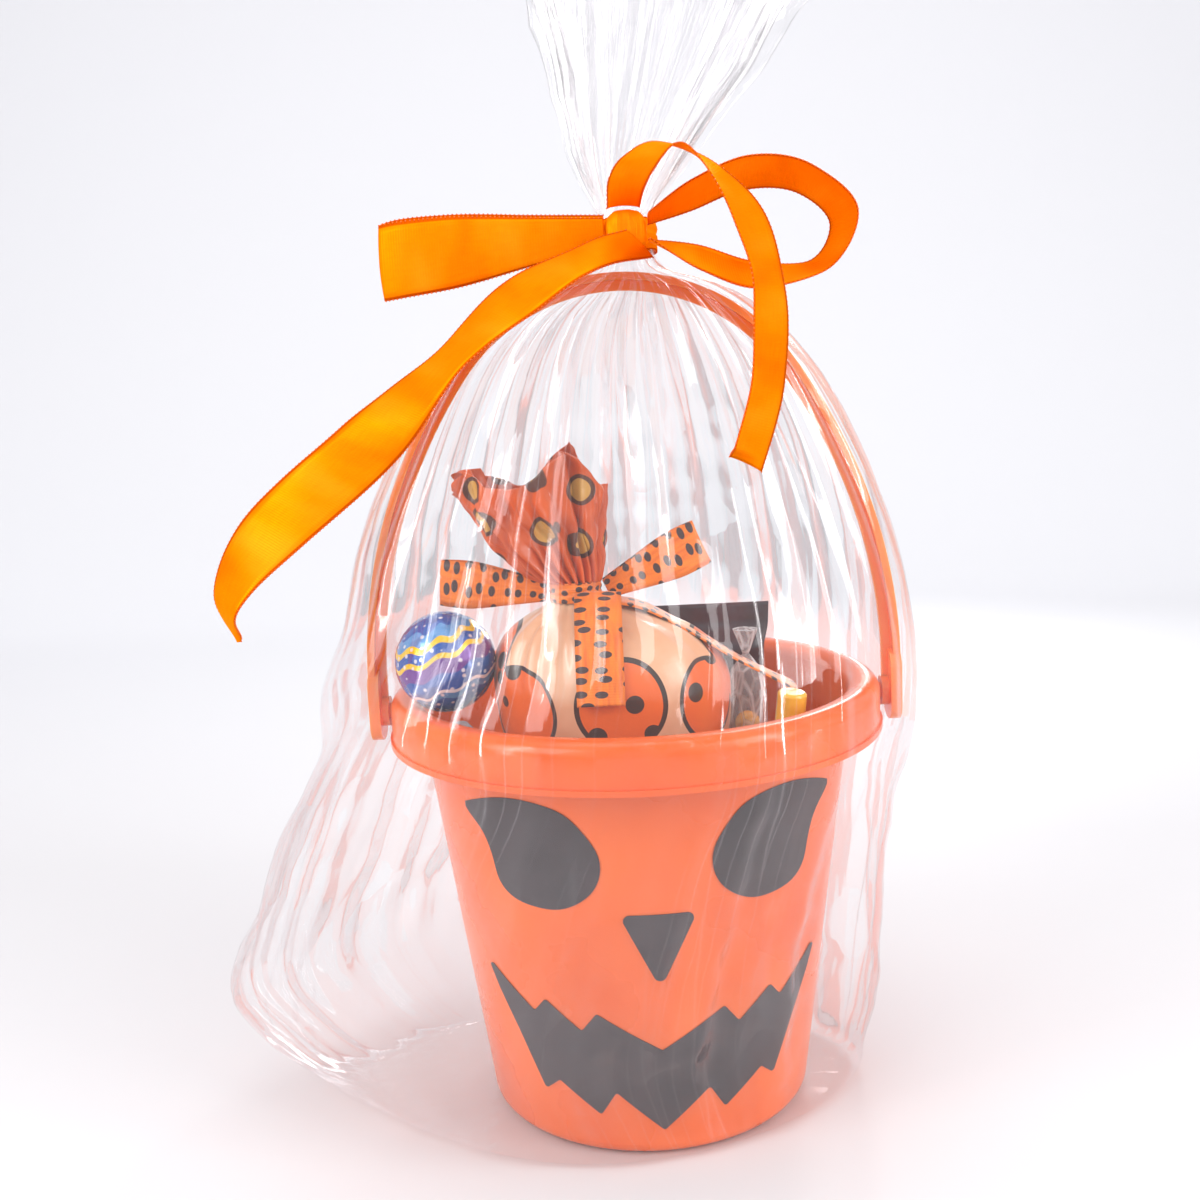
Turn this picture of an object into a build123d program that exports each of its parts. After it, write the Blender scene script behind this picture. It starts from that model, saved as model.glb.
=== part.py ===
import os
from math import atan, cos, degrees, hypot, pi, radians, sin, sqrt, tan

from build123d import *

# Pumpkin candy pail, gift wrapped: printed pail, bail, sweets, clear film bag and satin bow.
# Millimetres. +Z up, origin on the floor under the pail's axis, face towards -Y, bail pivots along X.

# Pail
rim_diameter = 180.0
pail_height = 156.0
base_diameter = 118.5
wall = 1.6
lip_width = 10.0
skirt_height = 17.0
bead_depth = 0.8
bead_height = 2.0
lip_round = 5.0
lip_inner_round = 3.2
base_round = 5.0
foot_width = 6.0
foot_recess = 1.8
floor_round = 3.0

# Printed face
ink = 0.15
ink_gap = 0.2
face_turn = 3.8
eye_inner_angle = 14.3
eye_span_angle = 40.2
eye_bottom = 93.5
eye_height = 39.2
nose_span_angle = 20.8
nose_bottom = 66.0
nose_height = 27.5
nose_round = 2.2
mouth_half_angle = 58.7
mouth_bottom = 10.9
mouth_height = 57.1
mouth_round = 0.9

# Bail
peg_diameter = 6.0
peg_clearance = 0.05
peg_head_diameter = 8.0
peg_head_length = 2.0
peg_end_play = 0.4
boss_diameter = 11.0
boss_length = 2.7
boss_gap = 0.6
paddle_thickness = 4.0
paddle_width = 16.0
paddle_below = 10.5
paddle_above = 16.0
bail_rise = 154.5
leg_rise = 9.8
shoulder_turn = 36.0
flange_width = 11.0
flange_thickness = 2.6
web_depth = 3.6
web_thickness = 2.0

# Film bag
film = 0.4
film_pleats = 18
pleat_height = 4.0
left_ear = 78.0
right_ear = 26.0
floor_slack = 6.0
rim_slack = 5.0
bail_film_gap = 3.2
left_rim_slack = 13.0
join_rise = 3.0
neck_radius = 9.5
neck_lean = 4.0
neck_gap = 1.8
seam_gap = 0.3
neck_height = 21.0
plume_height = 100.0
plume_half_width = 50.0
plume_half_depth = 30.0
plume_lean = 24.0

# Satin bow
ribbon_width = 25.0
ribbon_thickness = 0.4
collar_thickness = 1.4
collar_height = 13.0
collar_gap = 0.3
knot_width = 14.0
knot_height = 15.0
knot_depth = 11.0
loop_gap = 0.4
left_loop_length = 74.0
left_loop_gap = 5.0
left_loop_drop = 6.5
pinched_width = 9.0
right_loop_reach = 68.0
right_loop_height = 42.0
left_tail_reach = 146.0
left_tail_drop = 132.0
left_tail_forward = 10.0
right_tail_reach = 50.0
right_tail_drop = 88.0
right_tail_forward = 24.0

# Sweets
rest_gap = 0.2
pouch_side_room = 34.0
pouch_depth_room = 44.0
pouch_x = -5.0
pouch_y = -22.0
pouch_lean = 14.0
pouch_neck_radius = 8.0
pouch_neck_length = 8.0
pouch_top_height = 48.0
pouch_top_half_width = 31.0
pouch_top_lean = 14.0
pouch_top_half_depth = 15.0
pouch_film = 1.0
tie_thickness = 1.2
tie_height = 7.0
bow_width = 16.0
bow_thickness = 0.4
bow_gap = 4.0
bow_rise = 5.2
bow_pinch = 7.0
bow_left_length = 36.0
bow_right_length = 36.0
bow_left_turn = 7.0
bow_right_turn = 24.0
bow_tail_length = 34.0
bow_tail_forward = 24.0
streamer_reach = 66.0
streamer_drop = 34.0
ball_diameter = 36.0
ball_angle = 200.3
ball_lean_share = 0.55
maroon_width = 34.0
maroon_thickness = 13.0
maroon_round = 4.0
wall_gap = 1.0
dark_width = 45.0
dark_thickness = 13.0
dark_length = 172.0
dark_round = 4.0
dark_x = 22.0
dark_y = 28.0
dark_lean = 3.0
crimp_height = 8.0
crimp_thickness = 0.8
twist_diameter = 15.0
twist_length = 168.0
twist_x = 42.0
twist_y = 5.0
yellow_diameter = 10.0
yellow_length = 156.0
yellow_angle = -39.0
blue_diameter = 10.0
blue_length = 138.0
blue_angle = -54.0
stick_inset = 5.0

# Worked-out sizes
overrun = wall
rim_radius = rim_diameter / 2
base_radius = base_diameter / 2
foot_z = film
rim_top = foot_z + pail_height
skirt_bottom = rim_top - skirt_height
wall_slope = (rim_radius - lip_width - base_radius) / pail_height
floor_top = foot_z + foot_recess + wall
pivot_z = skirt_bottom + skirt_height / 2
skirt_outer = rim_radius - bead_depth
skirt_inner = skirt_outer - wall
bail_half = rim_radius + boss_gap + boss_length + paddle_thickness
apex_z = pivot_z + bail_rise
shoulder_cos = cos(radians(shoulder_turn))
shoulder_sin = sin(radians(shoulder_turn))
leg_top = pivot_z + leg_rise
crown_share = (1 - shoulder_sin) / shoulder_cos
shoulder_part = shoulder_sin - crown_share * (1 - shoulder_cos)
shoulder_radius = (apex_z - leg_top - crown_share * bail_half) / shoulder_part
crown_radius = (bail_half - shoulder_radius * (1 - shoulder_cos)) / shoulder_cos
join_z = rim_top + join_rise
neck_z = apex_z + neck_gap
neck_top = neck_z + neck_height
knot_z = neck_z + neck_height / 2
collar_outer = neck_radius + collar_gap + collar_thickness
knot_y = -(collar_outer + loop_gap + knot_depth / 2)


def outer_radius(z):
    return base_radius + wall_slope * (z - foot_z)


def inner_radius(z):
    return outer_radius(z) - wall


def bail_reach(z):
    # half width of the bail's outer line at a height
    if z <= leg_top:
        return bail_half
    shoulder_rise = z - leg_top
    if shoulder_rise <= shoulder_radius * shoulder_sin:
        return bail_half - shoulder_radius + sqrt(shoulder_radius ** 2 - shoulder_rise ** 2)
    crown_rise = z - (apex_z - crown_radius)
    return sqrt(max(crown_radius ** 2 - crown_rise ** 2, 0))


def rounded(face, corners):
    # rounds the corner of a flat face nearest to each listed point
    for point, radius in corners:
        nearest = min(face.vertices(), key=lambda v: hypot(v.X - point[0], v.Y - point[1]))
        face = fillet(nearest, radius)
    return face


def upright(face):
    # stands a flat face drawn as (x, z) on the plane through the axis
    return Plane.XZ * face


def across(face, width):
    # extrudes an upright face evenly to both sides of its plane
    return extrude(upright(face), width / 2, both=True)


def closed_curve(points):
    return make_face(Spline(*points, periodic=True))


# Pail shell

def make_pail():
    foot_inner = base_radius - foot_width
    underside = foot_z + foot_recess
    lip_under = rim_top - wall
    base_corner = (base_radius, foot_z)
    under_lip = (outer_radius(lip_under), lip_under)
    skirt_corner = (skirt_inner, lip_under)
    outer_corner = (skirt_outer, rim_top)
    inner_corner = (inner_radius(rim_top), rim_top)
    floor_corner = (inner_radius(floor_top), floor_top)
    outline = [
        (0, underside),
        (foot_inner, underside),
        (foot_inner, foot_z),
        base_corner,
        under_lip,
        skirt_corner,
        (skirt_inner, skirt_bottom),
        (rim_radius, skirt_bottom),
        (rim_radius, skirt_bottom + bead_height),
        (skirt_outer, skirt_bottom + bead_height),
        outer_corner,
        inner_corner,
        floor_corner,
        (0, floor_top),
    ]
    section = make_face(Polyline(*outline, close=True))
    section = rounded(section, [
        (base_corner, base_round),
        (under_lip, lip_inner_round),
        (skirt_corner, lip_inner_round),
        (outer_corner, lip_round),
        (inner_corner, lip_round),
        (floor_corner, floor_round),
    ])
    shell = revolve(upright(section), Axis.Z)
    hole_length = wall + bead_depth + overrun
    hole_radius = peg_diameter / 2 + peg_clearance
    for side in (1, -1):
        middle = side * (skirt_inner + hole_length / 2 - overrun / 2)
        drill = Cylinder(hole_radius, hole_length, rotation=(0, 90, 0))
        shell -= Pos(middle, 0, pivot_z) * drill
    return shell


# Printed face

eye_shares = [
    (1.0, 0.865), (0.85, 0.93), (0.55, 1.0), (0.367, 0.977), (0.208, 0.903), (0.09, 0.74),
    (0.01, 0.547), (0.005, 0.394), (0.06, 0.224), (0.18, 0.09), (0.318, 0.022), (0.49, 0.018),
    (0.68, 0.076), (0.77, 0.19), (0.797, 0.356), (0.82, 0.504), (0.86, 0.623), (0.93, 0.722),
    (0.995, 0.80),
]
eye_runs = 64
nose_shares = [(-0.5, 1.0), (0.5, 1.0), (0.0, 0.0)]
mouth_upper_shares = [(0.324, 0.793), (0.412, 0.665), (0.601, 0.842), (0.681, 0.741), (1.0, 1.0)]
mouth_lower_shares = [
    (0.93, 0.81), (0.816, 0.562), (0.681, 0.203), (0.578, 0.294), (0.349, 0.098), (0.254, 0.263),
]
mouth_notch_share = 0.552


def on_wall(angle, z):
    # front view place of a point that lies on the wall at an angle from the face's middle
    turned = radians(angle + face_turn)
    return outer_radius(z) * sin(turned), z


def ink_layer(face):
    # thin layer of the wall's own slope, cut to the outline of a flat face
    back = ink_gap
    front = ink_gap + ink
    ring = []
    for z, lift in ((foot_z, back), (foot_z, front), (skirt_bottom, front), (skirt_bottom, back)):
        ring.append((outer_radius(z) + lift, z))
    shell = revolve(upright(make_face(Polyline(*ring, close=True))), Axis.Z)
    return extrude(upright(face), rim_radius) & shell


def make_eye(side):
    points = []
    for across_share, up_share in eye_shares:
        angle = eye_inner_angle + across_share * eye_span_angle
        points.append(on_wall(side * angle, eye_bottom + up_share * eye_height))
    curve = Spline(*points, periodic=True)
    corners = [curve @ (run / eye_runs) for run in range(eye_runs)]
    return ink_layer(make_face(Polyline(*corners, close=True)))


def make_nose():
    points = []
    for across_share, up_share in nose_shares:
        points.append(on_wall(across_share * nose_span_angle, nose_bottom + up_share * nose_height))
    face = make_face(Polyline(*points, close=True))
    return ink_layer(rounded(face, [(point, nose_round) for point in points]))


def make_mouth():
    right = mouth_upper_shares + mouth_lower_shares
    left = [(-across_share, up_share) for across_share, up_share in reversed(right)]
    shares = [(0.0, mouth_notch_share)] + right + [(0.0, 0.0)] + left
    points = []
    for across_share, up_share in shares:
        points.append(on_wall(across_share * mouth_half_angle, mouth_bottom + up_share * mouth_height))
    face = make_face(Polyline(*points, close=True))
    return ink_layer(rounded(face, [(point, mouth_round) for point in points]))


# Bail

def bail_line(inset, foot):
    # one line of the arch, from the right foot over the crown to the left foot
    half = bail_half - inset
    shoulder = shoulder_radius - inset
    crown = crown_radius - inset
    crown_centre = apex_z - crown_radius
    bend = (crown * shoulder_cos, crown_centre + crown * shoulder_sin)
    half_turn = radians(shoulder_turn / 2)
    middle = (half - shoulder * (1 - cos(half_turn)), leg_top + shoulder * sin(half_turn))
    right_leg = Line((half, foot), (half, leg_top))
    right_arc = ThreePointArc((half, leg_top), middle, bend)
    top_arc = ThreePointArc(bend, (0, crown_centre + crown), (-bend[0], bend[1]))
    left_arc = ThreePointArc((-bend[0], bend[1]), (-middle[0], middle[1]), (-half, leg_top))
    left_leg = Line((-half, leg_top), (-half, foot))
    return [right_leg, right_arc, top_arc, left_arc, left_leg]


def bail_band(outer_inset, inner_inset, foot):
    # flat arch between two lines that lie inset from the bail's outer line
    outer_half = bail_half - outer_inset
    inner_half = bail_half - inner_inset
    left_foot = Line((-outer_half, foot), (-inner_half, foot))
    right_foot = Line((inner_half, foot), (outer_half, foot))
    edges = bail_line(outer_inset, foot) + [left_foot] + bail_line(inner_inset, foot) + [right_foot]
    return make_face(Wire(edge for line in edges for edge in line.edges()))


def make_bail():
    paddle_bottom = pivot_z - paddle_below
    paddle_top = pivot_z + paddle_above
    inner_face = bail_half - paddle_thickness
    bail = across(bail_band(0, flange_thickness, pivot_z), flange_width)
    web_foot = pivot_z + boss_diameter / 2
    bail += across(bail_band(0, flange_thickness + web_depth, web_foot), web_thickness)
    plate_height = paddle_top - paddle_bottom
    plate = RectangleRounded(paddle_width, plate_height, paddle_width / 2 - web_thickness / 2)
    plate_z = (paddle_top + paddle_bottom) / 2
    boss_face = inner_face - boss_length
    head_face = skirt_inner - peg_end_play
    for side in (1, -1):
        outward = Plane((0, 0, 0), x_dir=(0, side, 0), z_dir=(side, 0, 0))
        stations = [
            (Pos(0, plate_z) * plate, inner_face, paddle_thickness),
            (Pos(0, pivot_z) * Circle(boss_diameter / 2), boss_face, boss_length),
            (Pos(0, pivot_z) * Circle(peg_diameter / 2), head_face, boss_face - head_face),
            (Pos(0, pivot_z) * Circle(peg_head_diameter / 2), head_face - peg_head_length, peg_head_length),
        ]
        for shape, start, length in stations:
            bail += extrude(outward.offset(start) * shape, length)
    return bail


# Film bag

def film_loop(left, right, depth, pinch, pleat_share, inset):
    # outline of the bag at one height, drawn in towards both ears and pleated outwards
    middle = (right - left) / 2
    half = (right + left) / 2 - inset
    points = []
    for step in range(2 * film_pleats):
        angle = pi * step / film_pleats
        side_share = 1 if cos(angle) < 0 else right_pinch_share
        drawn_in = 1 - pinch * side_share * cos(angle) ** 2
        ridge = pleat_height * pleat_share if step % 2 else 0
        x = middle + (half + ridge) * cos(angle)
        points.append((x, (depth - inset + ridge) * sin(angle) * drawn_in))
    return closed_curve(points)


def film_shell(levels, hollow):
    # skin through all the levels, emptied along the hollow ones
    outer = [Pos(0, 0, z) * film_loop(*outline, 0) for z, *outline in levels]
    inner = [Pos(0, 0, z) * film_loop(*outline, film) for z, *outline in hollow]
    return loft(outer) - loft(inner)


def raised(levels):
    # the same levels with the lowest one lifted by a floor of film
    z, *outline = levels[0]
    return [(z + film, *outline)] + levels[1:]


ear_rise_share = 0.27
side_rise_share = 0.72
left_reach_shares = (1.18, 0.68)
right_reach_shares = (0.75, 0.70)
depth_shares = (0.34, 0.80)
pinch_shares = (0.48, 0.46, 0.14)
right_pinch_share = 0.4
skirt_pleat_shares = (1.0, 0.7)
join_pleat_share = 0.4


def make_skirt():
    low_depth = base_radius + floor_slack
    high_depth = rim_radius + rim_slack
    levels = [(0, base_radius + left_ear, base_radius + right_ear, low_depth, pinch_shares[0], 0)]
    for place, rise_share in enumerate((ear_rise_share, side_rise_share)):
        z = rise_share * pail_height
        left = outer_radius(z) + left_ear * left_reach_shares[place]
        right = outer_radius(z) + right_ear * right_reach_shares[place]
        depth = low_depth + depth_shares[place] * (high_depth - low_depth)
        levels.append((z, left, right, depth, pinch_shares[place + 1], skirt_pleat_shares[place]))
    rim_left = bail_half + bail_film_gap + left_rim_slack
    rim_right = bail_half + bail_film_gap
    levels.append((skirt_bottom, rim_left, rim_right, high_depth, 0, join_pleat_share))
    levels.append((join_z, rim_left, rim_right, high_depth, 0, join_pleat_share))
    return film_shell(levels, raised(levels))


hood_rise_shares = (0.0, 0.16, 0.34, 0.52, 0.68, 0.80, 0.89, 0.95, 1.0)
hood_depth_shares = (1.0, 0.88, 0.70, 0.53, 0.375, 0.25, 0.15, 0.07, 0.0)
hood_slack_shares = (1.0, 0.62, 0.26, 0.08, 0.0, 0.0, 0.0, 0.0, 0.0)
hood_pleat_shares = (join_pleat_share, 0.5, 0.6, 0.7, 0.7, 0.6, 0.45, 0.25, 0.0)


def make_hood():
    top = neck_z - seam_gap
    high_depth = rim_radius + rim_slack
    levels = []
    hood_shares = zip(hood_rise_shares, hood_depth_shares, hood_slack_shares, hood_pleat_shares)
    for rise, deep, slack, pleat_share in hood_shares:
        z = join_z + rise * (top - join_z)
        reach = max(bail_reach(z) + bail_film_gap, neck_radius)
        lean = neck_lean * max(rise - hood_rise_shares[-2], 0) / (1 - hood_rise_shares[-2])
        if rise == 1:
            reach = neck_radius
        depth = neck_radius + deep * (high_depth - neck_radius)
        levels.append((z, reach + slack * left_rim_slack - lean, reach + lean, depth, 0, pleat_share))
    return film_shell(levels, levels)


plume_rise_shares = (0.12, 0.32, 0.62, 1.0)
plume_spread_shares = (0.06, 0.27, 0.63, 1.0)
plume_lean_shares = (0.05, 0.26, 0.62, 1.0)


def make_plume():
    # packed neck of gathered film, open above the tie
    levels = []
    for z in (neck_z, neck_top):
        levels.append((z, neck_radius - neck_lean, neck_radius + neck_lean, neck_radius, 0, 0))
    for rise, spread, lean_share in zip(plume_rise_shares, plume_spread_shares, plume_lean_shares):
        half = neck_radius + spread * (plume_half_width - neck_radius)
        depth = neck_radius + spread * (plume_half_depth - neck_radius)
        lean = neck_lean + lean_share * plume_lean
        levels.append((neck_top + rise * plume_height, half - lean, half + lean, depth, 0, 0))
    return film_shell(levels, raised(levels[1:]))


# Satin bow

def make_collar():
    inner = neck_radius + collar_gap
    ring = Cylinder(collar_outer, collar_height) - Cylinder(inner, collar_height)
    return Pos(neck_lean, 0, knot_z) * ring


def make_knot():
    body = Box(knot_width, knot_depth, knot_height)
    soft = min(knot_width, knot_depth, knot_height) / 3
    return Pos(neck_lean, knot_y, knot_z) * fillet(body.edges(), soft)


def loop_outline(length, gap, thickness, inset):
    # flat loop seen from above: two straight runs joined by a round end
    radius = gap / 2 + thickness - inset
    straight = length - gap / 2 - thickness
    body = Pos(-straight / 2, 0) * Rectangle(straight, 2 * radius)
    return body + Pos(-straight, 0) * Circle(radius)


def flat_loop(length, width, gap, pinch, drop, thickness):
    # ribbon loop that runs to the left of the origin and is gathered there
    loop = loop_outline(length, gap, thickness, 0) - loop_outline(length, gap, thickness, thickness)
    band = extrude(loop, 2 * width, both=True)
    taper = make_face(Polyline(
        (0, pinch / 2),
        (-length, width / 2 - drop),
        (-length, -width / 2 - drop),
        (0, -pinch / 2),
        close=True,
    ))
    return band & across(taper, 2 * width)


def ribbon_strip(first, second, scale, thickness):
    # ribbon stretched between two long edges, given as shares of its reach
    edges = []
    for shares in (first, second):
        points = [(x * scale[0], y * scale[1], z * scale[2]) for x, y, z in shares]
        edges.append(Spline(*points).edge())
    return thicken(Face.make_surface_from_curves(edges[0], edges[1]), thickness / 2, both=True)


def make_left_loop():
    start = neck_lean - knot_width / 2 - loop_gap
    bends = (left_loop_gap, pinched_width, left_loop_drop)
    loop = flat_loop(left_loop_length, ribbon_width, *bends, ribbon_thickness)
    return Pos(start, knot_y, knot_z) * loop


right_loop_near_shares = [
    (0.0, -1.0, 0.10), (0.22, -1.0, 0.33), (0.48, -1.0, 0.49), (0.75, -1.0, 0.40), (0.98, -1.0, 0.05),
    (0.86, -1.0, -0.38), (0.52, -1.0, -0.51), (0.24, -1.0, -0.36), (0.0, -1.0, -0.10),
]
right_loop_far_shares = [
    (0.0, 0.0, 0.06), (0.22, 0.0, 0.15), (0.48, 0.0, 0.29), (0.74, 0.0, 0.26), (0.91, 0.0, 0.0),
    (0.80, 0.0, -0.30), (0.50, 0.0, -0.26), (0.24, 0.0, -0.12), (0.0, 0.0, -0.06),
]


def make_right_loop():
    # open loop whose near edge is wider than its far one
    scale = (right_loop_reach, ribbon_width, right_loop_height)
    loop = ribbon_strip(right_loop_near_shares, right_loop_far_shares, scale, ribbon_thickness)
    start = neck_lean + knot_width / 2 + loop_gap + ribbon_thickness
    back = -(collar_outer + loop_gap + ribbon_thickness)
    return Pos(start, back, knot_z) * loop


left_tail_upper_shares = [
    (0.0, 0.0, 0.0), (-0.10, -0.1, -0.03), (-0.30, -0.3, -0.13), (-0.45, -0.45, -0.28),
    (-0.68, -0.7, -0.46), (-0.90, -0.9, -0.66), (-1.0, -1.0, -0.86), (-0.96, -0.85, -1.0),
]
left_tail_lower_shares = [
    (0.06, 0.0, -0.07), (-0.06, -0.1, -0.10), (-0.20, -0.3, -0.19), (-0.36, -0.5, -0.31),
    (-0.53, -0.8, -0.53), (-0.76, -1.0, -0.74), (-0.90, -0.9, -0.88), (-0.95, -0.75, -1.0),
]


def make_left_tail():
    # tail that falls to the left of the knot and curls down at its cut end
    scale = (left_tail_reach, left_tail_forward, left_tail_drop)
    tail = ribbon_strip(left_tail_upper_shares, left_tail_lower_shares, scale, ribbon_thickness)
    front = knot_y - knot_depth / 2 - loop_gap
    return Pos(neck_lean, front, knot_z) * tail


right_tail_outer_shares = [
    (-0.12, 0.0, 0.0), (-0.10, -0.2, 0.10), (0.0, -0.5, 0.17), (0.22, -0.8, 0.20), (0.58, -1.0, 0.11),
    (0.88, -1.1, -0.07), (1.0, -1.15, -0.36), (0.97, -1.25, -0.70), (0.80, -1.5, -1.0),
]
right_tail_inner_shares = [
    (0.10, 0.0, 0.0), (0.14, -0.3, 0.06), (0.24, -0.7, 0.12), (0.36, -1.2, 0.15), (0.50, -1.5, 0.06),
    (0.64, -1.6, -0.10), (0.75, -1.65, -0.36), (0.72, -1.8, -0.67), (0.58, -2.0, -0.93),
]


def make_right_tail():
    # tail that rises over the knot, comes forward and falls in front of the right loop
    scale = (right_tail_reach, right_tail_forward, right_tail_drop)
    tail = ribbon_strip(right_tail_outer_shares, right_tail_inner_shares, scale, ribbon_thickness)
    return Pos(neck_lean, knot_y - loop_gap, knot_z + knot_height / 2 + loop_gap) * tail


# Sweets

ball_radius = ball_diameter / 2
crest_z = rim_top - lip_round
crest_radius = inner_radius(crest_z) + lip_round * sqrt(1 + wall_slope ** 2)
ball_seat = ball_radius + lip_round + rest_gap
ball_out = crest_radius - ball_lean_share * ball_seat
ball_z = crest_z + ball_seat * sqrt(1 - ball_lean_share ** 2)

# the pouch's bow clears the ball, and the pouch reaches from the floor to its bow
tie_z = ball_z + ball_radius + bow_rise
pouch_neck_x = pouch_x - pouch_lean
pouch_neck_z = tie_z + pouch_neck_length / 2
pouch_bottom = floor_top + rest_gap
pouch_height = pouch_neck_z - pouch_neck_length - pouch_bottom
pouch_rise_shares = (0.0, 0.2, 0.4, 0.6, 0.8, 0.9, 1.0)
pouch_width_shares = (1.0, 1.0, 1.0, 1.0, 1.0, 0.65, 0.0)
pouch_lean_shares = (0.0, 0.0, 0.0, 0.0, 0.12, 0.45, 1.0)


def make_pouch():
    # filled bag that stands on the pail's floor, follows its wall and is drawn in to a neck
    sections = []
    for rise, spread, lean in zip(pouch_rise_shares, pouch_width_shares, pouch_lean_shares):
        z = pouch_bottom + rise * pouch_height
        half = pouch_neck_radius + spread * (inner_radius(z) - pouch_side_room - pouch_neck_radius)
        deep = pouch_neck_radius + spread * (inner_radius(z) - pouch_depth_room - pouch_neck_radius)
        sections.append(Pos(pouch_x - lean * pouch_lean, pouch_y, z) * Ellipse(half, deep))
    neck = Cylinder(pouch_neck_radius, pouch_neck_length, align=(Align.CENTER, Align.CENTER, Align.MIN))
    return loft(sections) + Pos(pouch_neck_x, pouch_y, pouch_bottom + pouch_height) * neck


tie_outer = pouch_neck_radius + rest_gap + tie_thickness
pouch_lobes = 5
lobe_shares = (0.0, 0.16, 0.22)
flare_rise_shares = (0.0, 0.5, 1.0)
flare_spread_shares = (0.0, 0.42, 1.0)
flare_lean_shares = (0.0, 0.42, 1.0)


def flare(inset):
    sections = []
    flare_shares = zip(flare_rise_shares, flare_spread_shares, flare_lean_shares, lobe_shares)
    for rise, spread, lean, lobe in flare_shares:
        half = pouch_neck_radius + spread * (pouch_top_half_width - pouch_neck_radius) - inset
        deep = pouch_neck_radius + spread * (pouch_top_half_depth - pouch_neck_radius) - inset
        points = []
        for step in range(4 * pouch_lobes):
            angle = 2 * pi * step / (4 * pouch_lobes)
            swell = 1 - lobe * sin(pouch_lobes * angle / 2) ** 2
            points.append((half * swell * cos(angle), deep * swell * sin(angle)))
        sections.append(Pos(-lean * pouch_top_lean, 0, rise * pouch_top_height) * closed_curve(points))
    return loft(sections)


def make_pouch_top():
    cup = flare(0) - flare(pouch_film)
    return Pos(pouch_neck_x, pouch_y, pouch_neck_z + rest_gap) * cup


def make_pouch_tie():
    inner = pouch_neck_radius + rest_gap
    ring = Cylinder(tie_outer, tie_height) - Cylinder(inner, tie_height)
    return Pos(pouch_neck_x, pouch_y, tie_z) * ring


def make_bow_loop(length, side, turn):
    # loop of the printed ribbon on the pouch's neck, to its left or right
    loop = flat_loop(length, bow_width, bow_gap, bow_pinch, 0, bow_thickness)
    start = tie_outer + rest_gap + bow_pinch / 2 * sin(radians(turn))
    placed = Pos(-start, 0, 0) * Rot(0, turn, 0) * loop
    if side > 0:
        placed = mirror(placed, Plane.YZ)
    return Pos(pouch_neck_x, pouch_y, tie_z) * placed


bow_tail_shares = [(0.0, 0.0), (-0.30, -0.12), (-0.72, -0.45), (-1.0, -1.0)]


def make_bow_tail():
    # printed ribbon end that hangs over the pouch's front
    left = [(-0.5, forward, down) for forward, down in bow_tail_shares]
    right = [(0.5, forward, down) for forward, down in bow_tail_shares]
    scale = (bow_width, bow_tail_forward, bow_tail_length)
    tail = ribbon_strip(left, right, scale, bow_thickness)
    front = pouch_y - tie_outer - rest_gap - bow_thickness
    return Pos(pouch_neck_x + bow_width / 2, front, tie_z) * tail


streamer_shares = [(0.0, 0.0), (0.22, -0.10), (0.50, -0.42), (0.73, -0.72), (1.0, -1.0)]


def make_streamer():
    # printed ribbon end that springs from the tie and falls to the right
    front = [(along, -0.5, down) for along, down in streamer_shares]
    back = [(along, 0.5, down) for along, down in streamer_shares]
    scale = (streamer_reach, bow_width, streamer_drop)
    strip = ribbon_strip(front, back, scale, bow_thickness)
    start = pouch_neck_x + tie_outer + rest_gap
    return Pos(start, pouch_y, tie_z - bow_pinch / 2 - rest_gap) * strip


def make_ball():
    # foil ball that leans on the rim and sits on the bar below it
    spot = Vector(ball_out * cos(radians(ball_angle)), ball_out * sin(radians(ball_angle)), ball_z)
    return Pos(spot) * Sphere(ball_radius)


def wrapped_bar(width, thickness, length, corner_round):
    # flow-wrapped bar standing on end, with a crimped fin on top
    body_length = length - crimp_height
    body = extrude(RectangleRounded(width, thickness, corner_round), body_length)
    fin_z = body_length + crimp_height / 2
    return body + Pos(0, 0, fin_z) * Box(width, crimp_thickness, crimp_height)


def chord(z, width):
    # how far out a flat face of a width fits inside the wall at a height
    return sqrt(inner_radius(z) ** 2 - (width / 2) ** 2)


def make_maroon_bar():
    # flat bar standing along the wall under the foil ball
    low = floor_top + floor_round
    high = ball_z - ball_radius
    lean = atan((chord(high, maroon_width) - chord(low, maroon_width)) / (high - low))
    middle = chord(low, maroon_width) - wall_gap / cos(lean) - maroon_thickness / 2 / cos(lean)
    foot = low - floor_round + rest_gap + maroon_thickness / 2 * sin(lean)
    middle -= (low - foot) * tan(lean)
    body_length = (high - foot) / cos(lean) - ball_radius / 2
    body = extrude(RectangleRounded(maroon_thickness, maroon_width, maroon_round), body_length)
    leaned = Pos(middle, 0, foot) * Rot(0, degrees(lean), 0) * body
    return Rot(0, 0, ball_angle) * leaned


def make_dark_bar():
    bar = wrapped_bar(dark_width, dark_thickness, dark_length, dark_round)
    foot = floor_top + rest_gap + dark_width / 2 * sin(radians(dark_lean))
    return Pos(dark_x, dark_y, foot) * Rot(0, dark_lean, 0) * bar


twist_radius_shares = ((1.0, 0.0), (1.0, 0.86), (0.75, 0.91), (0.16, 0.945), (0.62, 1.0), (0.0, 1.0))


def make_twist():
    # slim clear bag of sweets, its top twisted shut
    outline = [(0, 0)]
    for radius_share, rise_share in twist_radius_shares:
        outline.append((radius_share * twist_diameter / 2, rise_share * twist_length))
    body = revolve(upright(make_face(Polyline(*outline, close=True))), Axis.Z)
    return Pos(twist_x, twist_y, floor_top + rest_gap) * body


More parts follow.
